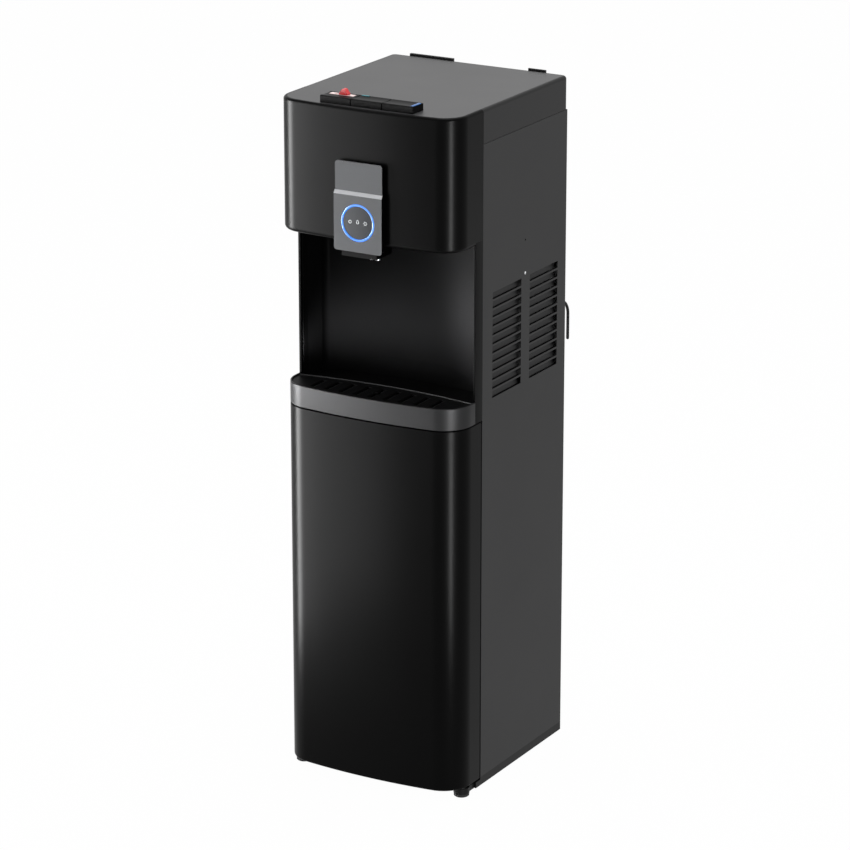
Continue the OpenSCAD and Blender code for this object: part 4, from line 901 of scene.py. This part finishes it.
@dataclass
class Recess:
    """Soft moulding between the recess's floor and its curved back wall.

    Attributes:
        half_w: Half of the recess's width.
        back: Depth of the back wall's hindmost point.
        corner_r: Radius of the corners between back and sides.
        fall: How far the back wall comes forwards before the corners.
        front: Depth at which the moulding ends.
        floor: Height of the floor.
        radius: Radius of the hollow at the middle of the back wall.
        side_share: Share of that radius left along the sides.
        blend: Length over which the radius changes, from the corners inwards.
        sink: How far the hidden faces lie in wall and floor, as a share of the radius.
        steps: Points of the quarter circle.
    """

    half_w: float = 0.1375
    back: float = 0.178
    corner_r: float = 0.012
    fall: float = 0.030
    front: float = 0.2255
    floor: float = 0.6005
    radius: float = 0.024
    side_share: float = 0.42
    blend: float = 0.075
    sink: float = 0.02
    steps: int = 13

    def build(self) -> None:
        """Builds the hollow moulding: a section carried along the wall, times the hollow's size there.

        The section is a quarter circle closed by two hidden faces. The size changes from the middle of the
        wall to the sides by the cubic that starts and ends level, 3 s squared less 2 s cubed.
        """
        plan = BowedPlan(self.half_w, -self.back, -self.front, self.corner_r, self.fall)
        path, outward = plan.path()
        path = path * [1.0, -1.0] + [0.0, 2 * REAR_Y]
        outward = outward * [1.0, -1.0]
        angle = np.linspace(0.0, np.pi / 2, self.steps)
        hollow = np.stack([1 - np.sin(angle), 1 - np.cos(angle)], 1)
        section = np.vstack([hollow, [[-self.sink, 1.0], [-self.sink, -self.sink], [1.0, -self.sink]]])
        s = np.clip((self.half_w - self.corner_r - np.abs(path[:, 0])) / self.blend, 0.0, 1.0)
        size = self.radius * (self.side_share + (1 - self.side_share) * s * s * (3 - 2 * s))[:, None]
        plan_points = path[:, None] - outward[:, None] * (size * section[None, :, 0])[:, :, None]
        height = self.floor + size * section[None, :, 1]
        grid = np.concatenate([plan_points, height[:, :, None]], -1)
        woven(grid, False, True, True).piece("recess_cove", COVE_BLACK, "cabinet", "satin_black")


class Icon(Enum):
    """Generic signs on the display."""

    RING = "warm"
    DROP = "plain"
    STAR = "cold"


@dataclass
class Display:
    """Light ring, domed lens and three small signs at the foot of the face plate.

    Attributes:
        z: Height of the ring's middle.
        back: Depth of the plate that ring and lens stand on.
        front: Depth that they reach, but for the ring's rise.
        ring_r: Outer radius of the ring.
        ring_w: Width of the ring.
        ring_rise: How far the ring stands out further.
        ring_edge_r: Radius of the ring's front edges.
        lens_gap: Gap between lens and ring.
        lens_edge: How far the lens's edge lies behind the front.
        lens_dome: How far the lens's middle stands out before its edge.
        icon_pitch: Distance from one sign to the next.
        icon_r: Mean radius of a sign.
        icon_rise: How far the signs lie above the ring's middle.
        icon_drop: How far the signs' faces lie behind the front.
        line_w: Width of a sign's line.
        line_t: Thickness of a sign's line.
        drop: Radius of the drop's body and growth at its tip, as shares of the mean radius.
        tip_power: How sharply the drop's tip grows.
        star_points: Points of the star.
        star_swing: How far they stand out, as a share of the mean radius.
        ring_steps: Points round the ring.
        lens_steps: Points from the lens's edge to its middle.
        sign_steps: Points round a sign.
    """

    z: float = 0.8735
    back: float = 0.3459
    front: float = 0.351
    ring_r: float = 0.0275
    ring_w: float = 0.0034
    ring_rise: float = 0.0002
    ring_edge_r: float = 0.0012
    lens_gap: float = 0.0001
    lens_edge: float = 0.0009
    lens_dome: float = 0.0007
    icon_pitch: float = 0.0125
    icon_r: float = 0.0025
    icon_rise: float = 0.0008
    icon_drop: float = 0.00012
    line_w: float = 0.0007
    line_t: float = 0.0005
    drop: Span = (0.85, 0.75)
    tip_power: int = 6
    star_points: int = 6
    star_swing: float = 0.28
    ring_steps: int = 144
    lens_steps: int = 25
    sign_steps: int = 72

    def build(self) -> None:
        """Builds the ring and the lens in place of the CAD nodes, and the signs."""
        centre = (0.0, depth_y(self.back), self.z)
        rise = self.front - self.back
        outer, inner, face = self.ring_r, self.ring_r - self.ring_w, rise + self.ring_rise
        bead = rounded([(inner, 0.0, 0.0), (outer, 0.0, 0.0), (outer, face, self.ring_edge_r),
                        (inner, face, self.ring_edge_r)])
        ring = turned(bead, centre, Axis.FORWARDS, self.ring_steps)
        ring.piece("light_ring_bead", RING_BLUE, "cabinet", "blue_light", ["light_ring"])
        radius = np.linspace(inner - self.lens_gap, 0.0, self.lens_steps)
        dome = rise - self.lens_edge + self.lens_dome * (1 - (radius / inner) ** 2)
        profile = np.vstack([[[0.0, 0.0], [radius[0], 0.0]], np.stack([radius, dome], 1)])
        lens = turned(profile, centre, Axis.FORWARDS)
        lens.piece("display_lens", DARK_LENS, "cabinet", "dark_lens", ["display_window"])
        for place, icon in zip((-1.0, 0.0, 1.0), Icon):
            self._sign(icon, place * self.icon_pitch)

    def _sign(self, icon: Icon, x: float) -> None:
        """Builds one sign: a closed line whose distance from its middle varies with the angle.

        The ring keeps one distance; the drop's grows towards its tip as a power of the angle's sine; the
        star's swings with the cosine of the angle times its points.

        Args:
            icon: Which sign.
            x: Its middle.
        """
        angle = np.linspace(0.0, 2 * np.pi, self.sign_steps, endpoint=False)
        tip = np.clip(np.sin(angle), 0.0, 1.0) ** self.tip_power
        share = {Icon.RING: np.ones_like(angle), Icon.DROP: self.drop[0] + self.drop[1] * tip,
                 Icon.STAR: 1.0 + self.star_swing * np.cos(self.star_points * angle)}[icon]
        reach = share * self.icon_r
        outward = np.stack([np.cos(angle), np.sin(angle)], 1)
        section = np.array([[0.0, self.line_t], [self.line_w, self.line_t], [self.line_w, 0.0], [0.0, 0.0]])
        plan = outward[:, None] * (reach[:, None] - section[None, :, 0])[:, :, None]
        y = depth_y(self.front - self.icon_drop) + np.broadcast_to(section[None, :, 1], plan.shape[:2])
        grid = np.stack([x + plan[:, :, 0], y, self.z + self.icon_rise + plan[:, :, 1]], -1)
        woven(grid, True, True, False).piece("sign_" + icon.value, ICON_PALE, "cabinet", "dark_lens")


@dataclass
class Nozzles:
    """The two outlet nozzles under the spout.

    Attributes:
        gap: Distance between their axes.
        depth: Depth of the axes.
        radius: Outer radius.
        bore: Inner radius.
        low: Height of the tips.
        high: Height of the upper ends, inside the spout.
        collar: Height of the collar's underside.
        collar_w: How far the collar stands out.
        collar_h: Height of the collar.
        collar_r: Radius of the collar's edges.
        tip_r: Radii of the tips' inner and outer edges.
        small_r: Radius of the other edges.
    """

    gap: float = 0.009
    depth: float = 0.303
    radius: float = 0.0035
    bore: float = 0.0024
    low: float = 0.8085
    high: float = 0.8296
    collar: float = 0.815
    collar_w: float = 0.0007
    collar_h: float = 0.0014
    collar_r: float = 0.0003
    tip_r: Span = (0.0004, 0.0005)
    small_r: float = 0.0002

    def build(self) -> None:
        """Builds both nozzles: a tube with rolled lips and a collar, turned round its axis."""
        r, wide, length, small = self.radius, self.radius + self.collar_w, self.high - self.low, self.small_r
        foot = self.collar - self.low
        head = foot + self.collar_h
        profile = rounded([(self.bore, 0.0, self.tip_r[0]), (r, 0.0, self.tip_r[1]), (r, foot, small),
                           (wide, foot, self.collar_r), (wide, head, self.collar_r), (r, head, small),
                           (r, length, small), (self.bore, length, small)], steps=6)
        left, right = (turned(profile, (x, depth_y(self.depth), self.low), Axis.UPRIGHT, steps=48)
                       for x in (-self.gap / 2, self.gap / 2))
        (left + right).piece("outlet_nozzles", BARE_STEEL, "cabinet", "steel", ["nozzles"])


@dataclass
class CaseScrews:
    """Domed cross-head screws, one on each side panel.

    Attributes:
        depth: Depth of their axis.
        z: Height of their axis.
        radius: Radius of the head.
        rise: How far the head stands out.
        dome: How far it falls towards its rim, as a share of the rise.
        cut: Depth of the cross, as a share of the rise.
        slot_half: Half of a slot's width, as a share of the radius.
        slot_reach: Half of a slot's length, as a share of the radius.
        sink: How far the head goes into the panel.
        spokes: Points round the head.
        rings: Points from its rim to its middle.
    """

    depth: float = 0.126
    z: float = 0.767
    radius: float = 0.0023
    rise: float = 0.0006
    dome: float = 0.45
    cut: float = 0.7
    slot_half: float = 0.2
    slot_reach: float = 0.62
    sink: float = 0.001
    spokes: int = 72
    rings: int = 18

    def build(self) -> None:
        """Builds both heads: height is a dome less a cross of two slots, and a wall runs round it."""
        angle = np.linspace(0.0, 2 * np.pi, self.spokes, endpoint=False)[:, None]
        share = np.linspace(1.0, 0.0, self.rings)[None, :]
        u, v = share * np.cos(angle), share * np.sin(angle)
        cross = np.maximum(self._slot(u, v), self._slot(v, u))
        height = self.rise * (1 - self.dome * share**2 - self.cut * cross)
        pole, foot = np.zeros_like(angle), np.full_like(angle, -self.sink)
        y = depth_y(self.depth) + np.hstack([pole, np.cos(angle), u]) * self.radius
        z = self.z + np.hstack([pole, np.sin(angle), v]) * self.radius
        x = HALF_W + np.hstack([foot, foot, height])
        left, right = (woven(np.stack([side * x, y, z], -1), True, False, False) for side in (-1.0, 1.0))
        (left + right).piece("case_screw_heads", BARE_STEEL, "cabinet", "steel", ["case_screws"])

    def _slot(self, across: Array, along: Array) -> Array:
        """Works out one slot of the cross: a bell of the fourth power across it, cut off at its ends.

        Args:
            across: Distance from the slot's middle line, as a share of the radius.
            along: Distance along that line.

        Returns:
            Depth of the slot, as a share of its greatest.
        """
        return np.exp(-(across / self.slot_half) ** 4) * (np.abs(along) < self.slot_reach)


@dataclass
class KeySprings:
    """Return springs under the three keys.

    Attributes:
        pitch: Distance from one key to the next.
        depth: Depth of the springs' axes.
        coil_r: Radius of the coil's middle line.
        wire_r: Radius of the wire.
        low: Height of the lower end.
        high: Height of the upper end.
        turns: Active turns; one more at either end lies flat.
        travel: Travel of a key; not used.
        coil_steps: Points along the wire.
        wire_steps: Points round it.
    """

    pitch: float = 0.05117
    depth: float = 0.311
    coil_r: float = 0.0046
    wire_r: float = 0.00045
    low: float = 1.02216
    high: float = 1.0432
    turns: float = 6.0
    travel: float = 0.004
    coil_steps: int = 300
    wire_steps: int = 12

    def build(self) -> None:
        """Builds the springs, each in place of its CAD node.

        The wire's middle is (R cos t, R sin t, h(t)), where h is level over the first and the last turn and
        rises evenly between. Round it, a circle is laid out in the plane of the radial direction and of Z.
        """
        up = np.array([0.0, 0.0, 1.0])
        t = np.linspace(0.0, 2 * np.pi * (self.turns + 2), self.coil_steps)
        share = np.clip((t - 2 * np.pi) / (2 * np.pi * self.turns), 0.0, 1.0)
        height = self.low + self.wire_r + (self.high - self.low - 2 * self.wire_r) * share
        radial = np.stack([np.cos(t), np.sin(t), np.zeros_like(t)], 1)
        middle = self.coil_r * radial + height[:, None] * up + [0.0, depth_y(self.depth), 0.0]
        angle = np.linspace(0.0, 2 * np.pi, self.wire_steps, endpoint=False)[None, :, None]
        wire = middle[:, None] + self.wire_r * (np.cos(angle) * radial[:, None] + np.sin(angle) * up)
        for place, key in zip((-1.0, 0.0, 1.0), ("hot", "room", "cold")):
            coil = woven(wire + [place * self.pitch, 0.0, 0.0], False, True, True)
            made = coil.piece(key + "_return_spring", BARE_STEEL, "cabinet", "steel", [key + "_spring"])
            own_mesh(made)


@dataclass
class KeyMarks:
    """Coloured marks let into the tops of the middle and the right key.

    Attributes:
        top: Height of the keys' tops.
        rise: How far the marks stand out of them.
        sink: How far the marks go into them.
        edge_r: Radius of the marks' edges.
        room: Span in X and span of depth of the middle key's mark.
        cold: The same for the right key's mark.
    """

    top: float = 1.046
    rise: float = 0.0004
    sink: float = 0.0006
    edge_r: float = 0.0003
    room: tuple[Span, Span] = ((-0.0235, -0.011), (0.2962, 0.2992))
    cold: tuple[Span, Span] = ((0.0705, 0.0752), (0.300, 0.3225))

    def build(self) -> None:
        """Builds the teal mark of the middle key and the blue mark of the right one."""
        z = (self.top - self.sink, self.top + self.rise)
        bevelled_box(*self.room, z, self.edge_r).piece("room_mark", TEAL, "room_button", "blue_light")
        bevelled_box(*self.cold, z, self.edge_r).piece("cold_mark", BLUE, "cold_button", "blue_light")


# ---------------------------------------------------------------- studio


class Reach(Enum):
    """What a lamp lights: colour under the surface, gloss on it, or both, as (diffuse, glossy)."""

    BOTH = (True, True)
    GLOSS = (False, True)
    COLOUR = (True, False)


@dataclass(frozen=True)
class SoftLamp:
    """One rectangular area lamp.

    Attributes:
        name: Lamp name.
        place: Its position.
        target: The point it faces.
        width: Its width.
        height: Its height.
        power: Power in watts.
        reach: What it lights.
        cone: Full angle of its beam, in degrees.
    """

    name: str
    place: Point
    target: Point
    width: float
    height: float
    power: float
    reach: Reach = Reach.BOTH
    cone: float = 180.0

    def build(self) -> None:
        """Makes the lamp."""
        data = bpy.data.lights.new(self.name, "AREA")
        data.shape = "RECTANGLE"
        data.size = self.width
        data.size_y = self.height
        data.energy = self.power
        data.spread = math.radians(self.cone)
        lamp = bpy.data.objects.new(self.name, data)
        lamp.location = self.place
        lamp.visible_camera = False
        lamp.visible_diffuse, lamp.visible_glossy = self.reach.value
        lamp.rotation_mode = "QUATERNION"
        beam = Vector(self.target) - Vector(self.place)
        lamp.rotation_quaternion = beam.to_track_quat("-Z", "Y")
        bpy.context.scene.collection.objects.link(lamp)


@dataclass
class Studio:
    """Pale floor, soft lamps and the camera.

    Attributes:
        azimuth: Camera angle round the object from its front, in degrees.
        elevation: Camera angle above the horizon, in degrees.
        place: Camera position.
        sensor: Width of the camera's sensor, in millimetres.
        lens: Its focal length, in millimetres.
        view_end: How far the camera sees.
        floor_size: Side of the floor.
        floor_grey: Linear grey of the floor where it is lit.
        floor_white: Share of plain white in what the floor shows; the rest is lit, and keeps the shadow.
        soft: Strength of the world as a light.
        lamps: The lamps.
    """

    azimuth: float = 30.0
    elevation: float = 17.94
    place: Point = (2.70409, -4.68671, 2.27018)
    sensor: float = 36.0
    lens: float = 161.8
    view_end: float = 100.0
    floor_size: float = 60.0
    floor_grey: float = 0.9
    floor_white: float = 0.985
    soft: float = 0.5
    lamps: tuple[SoftLamp, ...] = (
        SoftLamp("left_sheen", (-0.645, -0.5, 0.54), (-0.065, -0.345, 0.6), 0.34, 1.3, 14.5,
                 Reach.GLOSS, 64.0),
        SoftLamp("middle_sheen", (-0.44, -0.84, 0.56), (0.0, -0.18, 0.56), 0.3, 1.1, 5.4, Reach.GLOSS),
        SoftLamp("corner_sheen", (0.745, -0.58, 0.56), (0.13, -0.15, 0.56), 0.1, 1.1, 17.0, Reach.GLOSS),
        SoftLamp("recess_glow", (-0.05, -0.15, 0.64), (-0.05, -0.02, 0.688), 0.2, 0.02, 0.2,
                 Reach.COLOUR, 76.0),
        SoftLamp("recess_edge_glow", (-0.1, -0.17, 0.705), (0.1375, -0.06, 0.705), 0.03, 0.1, 0.4,
                 Reach.COLOUR, 40.0),
        SoftLamp("fill_lamp", (-2.8, -3.0, 2.2), (0.0, 0.0, 0.6), 1.4, 1.4, 30.0),
        SoftLamp("top_lamp", (0.0, 0.4, 3.4), (0.0, 0.0, 1.0), 1.8, 1.8, 40.0),
    )

    def build(self) -> None:
        """Makes camera, world, floor and lamps."""
        scene = bpy.context.scene
        scene.view_settings.view_transform = "Standard"
        self._camera(scene)
        self._world(scene)
        self._floor()
        for lamp in self.lamps:
            lamp.build()

    def _camera(self, scene: bpy.types.Scene) -> None:
        """Makes the camera.

        Args:
            scene: The scene that gets it.
        """
        data = bpy.data.cameras.new("camera")
        data.sensor_width = self.sensor
        data.lens = self.lens
        data.clip_end = self.view_end
        cam = bpy.data.objects.new("camera", data)
        cam.location = self.place
        cam.rotation_euler = (math.radians(90.0 - self.elevation), 0.0, math.radians(self.azimuth))
        scene.collection.objects.link(cam)
        scene.camera = cam

    def _seen(self, tree: bpy.types.NodeTree) -> bpy.types.NodeSocket:
        """Adds a switch that is 1 for camera, glossy and transmission rays.

        Args:
            tree: The node tree that gets it.

        Returns:
            Its output.
        """
        path = add_node(tree, "LightPath")
        value = path.outputs["Is Camera Ray"]
        for kind in ("Is Glossy Ray", "Is Transmission Ray"):
            either = add_node(tree, "Math")
            either.operation = "MAXIMUM"
            tree.links.new(value, either.inputs[0])
            tree.links.new(path.outputs[kind], either.inputs[1])
            value = either.outputs["Value"]
        return value

    def _world(self, scene: bpy.types.Scene) -> None:
        """Makes a soft world that is plain white where it is seen, also in reflections.

        Args:
            scene: The scene that gets it.
        """
        world = bpy.data.worlds.new("studio")
        world.use_nodes = True
        tree, link = world.node_tree, world.node_tree.links.new
        tree.nodes.clear()
        out, mix = add_node(tree, "OutputWorld"), add_node(tree, "MixShader")
        soft = add_node(tree, "Background", {"Color": WHITE, "Strength": self.soft})
        plain = add_node(tree, "Background", {"Color": WHITE, "Strength": 1.0})
        link(self._seen(tree), mix.inputs["Fac"])
        link(soft.outputs["Background"], mix.inputs[1])
        link(plain.outputs["Background"], mix.inputs[2])
        link(mix.outputs["Shader"], out.inputs["Surface"])
        scene.world = world

    def _floor(self) -> None:
        """Makes the floor, which shows white where it is seen but keeps a soft shadow."""
        half = self.floor_size / 2
        mesh = bpy.data.meshes.new("floor")
        corners = [(-half, -half, 0.0), (half, -half, 0.0), (half, half, 0.0), (-half, half, 0.0)]
        mesh.from_pydata(corners, [], [(0, 1, 2, 3)])
        floor = bpy.data.objects.new("floor", mesh)
        bpy.context.scene.collection.objects.link(floor)
        mesh.materials.append(self._floor_finish())

    def _floor_finish(self) -> bpy.types.Material:
        """Makes the floor's material: a lit grey and, for the larger share, plain white where it is seen.

        Returns:
            The new material.
        """
        mat = bpy.data.materials.new("pale_floor")
        mat.use_nodes = True
        tree, link = mat.node_tree, mat.node_tree.links.new
        tree.nodes.clear()
        out, mix = add_node(tree, "OutputMaterial"), add_node(tree, "MixShader")
        lit = add_node(tree, "BsdfDiffuse", {"Color": (*(self.floor_grey,) * 3, 1.0)})
        plain = add_node(tree, "Emission", {"Color": WHITE, "Strength": 1.0})
        share = add_node(tree, "Math", {1: self.floor_white})
        share.operation = "MULTIPLY"
        link(self._seen(tree), share.inputs[0])
        link(share.outputs["Value"], mix.inputs["Fac"])
        link(lit.outputs["BSDF"], mix.inputs[1])
        link(plain.outputs["Emission"], mix.inputs[2])
        link(mix.outputs["Shader"], out.inputs["Surface"])
        return mat


def dress_nodes() -> None:
    """Gives each CAD node that stays in view its finish."""
    SKIRT_BLACK.put_on("top_skirt")
    TOP_BLACK.put_on("top_panel")
    RECESS_BLACK.put_on("recess_liner")
    SATIN_BLACK.put_on("spout_block")
    KEY_BLACK.put_on("hot_key", "room_key", "cold_key")
    SIDE_PAINT.put_on("left_side_panel", "right_side_panel")
    DEEP_BLACK.put_on("base_pan", "tray_basin", "key_guide", "switch_housing", "hot_switch", "cold_switch",
                      "light_switch", "lid_catch", "drain_cap", "cord_gland", "condenser", "rear_hooks",
                      "compressor", "door_liner", "water_pump")
    PLATE_SATIN.put_on("face_plate_upper", "face_plate_lower")
    # Painted shade: the metal plates' sides and undersides get the black plastic, so they read dark.
    SATIN_BLACK.put_on_faces(Facing.SIDEWAYS_OR_DOWN, "face_plate_upper", "face_plate_lower")
    # Painted highlight: the plates' upward faces get the bright edge finish.
    PLATE_EDGE_HIGHLIGHT.put_on_faces(Facing.UP, "face_plate_upper", "face_plate_lower")
    BARE_STEEL.put_on("lower_hinge_pin", "upper_hinge_bracket", "hot_tank", "cold_tank", "door_magnets")
    ZINC_SHEET.put_on("lower_rear_panel", "upper_rear_panel", "mid_shelf", "tank_shelf")
    COPPER.put_on("refrigerant_pipes")
    WHITE_ABS.put_on("bay_liner", "bottle_probe", "control_box", "drain_fitting", "door_bushes",
                     "valve_block")
    FOAM.put_on("cold_jacket")
    RUBBER.put_on("front_left_foot", "front_right_foot", "rear_feet", "compressor_mounts")
    ROSE.put_on("lock_window")
    LOCK_RED.put_on("lock_knob")


def main() -> None:
    """Builds the studio and each sub-assembly."""
    Studio().build()
    dress_nodes()
    for part in (Nose(), Door(), DripTray(), Grille(), LouvreShadeSheets(), Recess(), Display(), Nozzles(),
                 CaseScrews(), KeySprings(), KeyMarks()):
        part.build()
        LOG.info("sub-assembly %s is built", type(part).__name__)


if __name__ == "__main__":
    logging.basicConfig(level=logging.INFO)
    main()
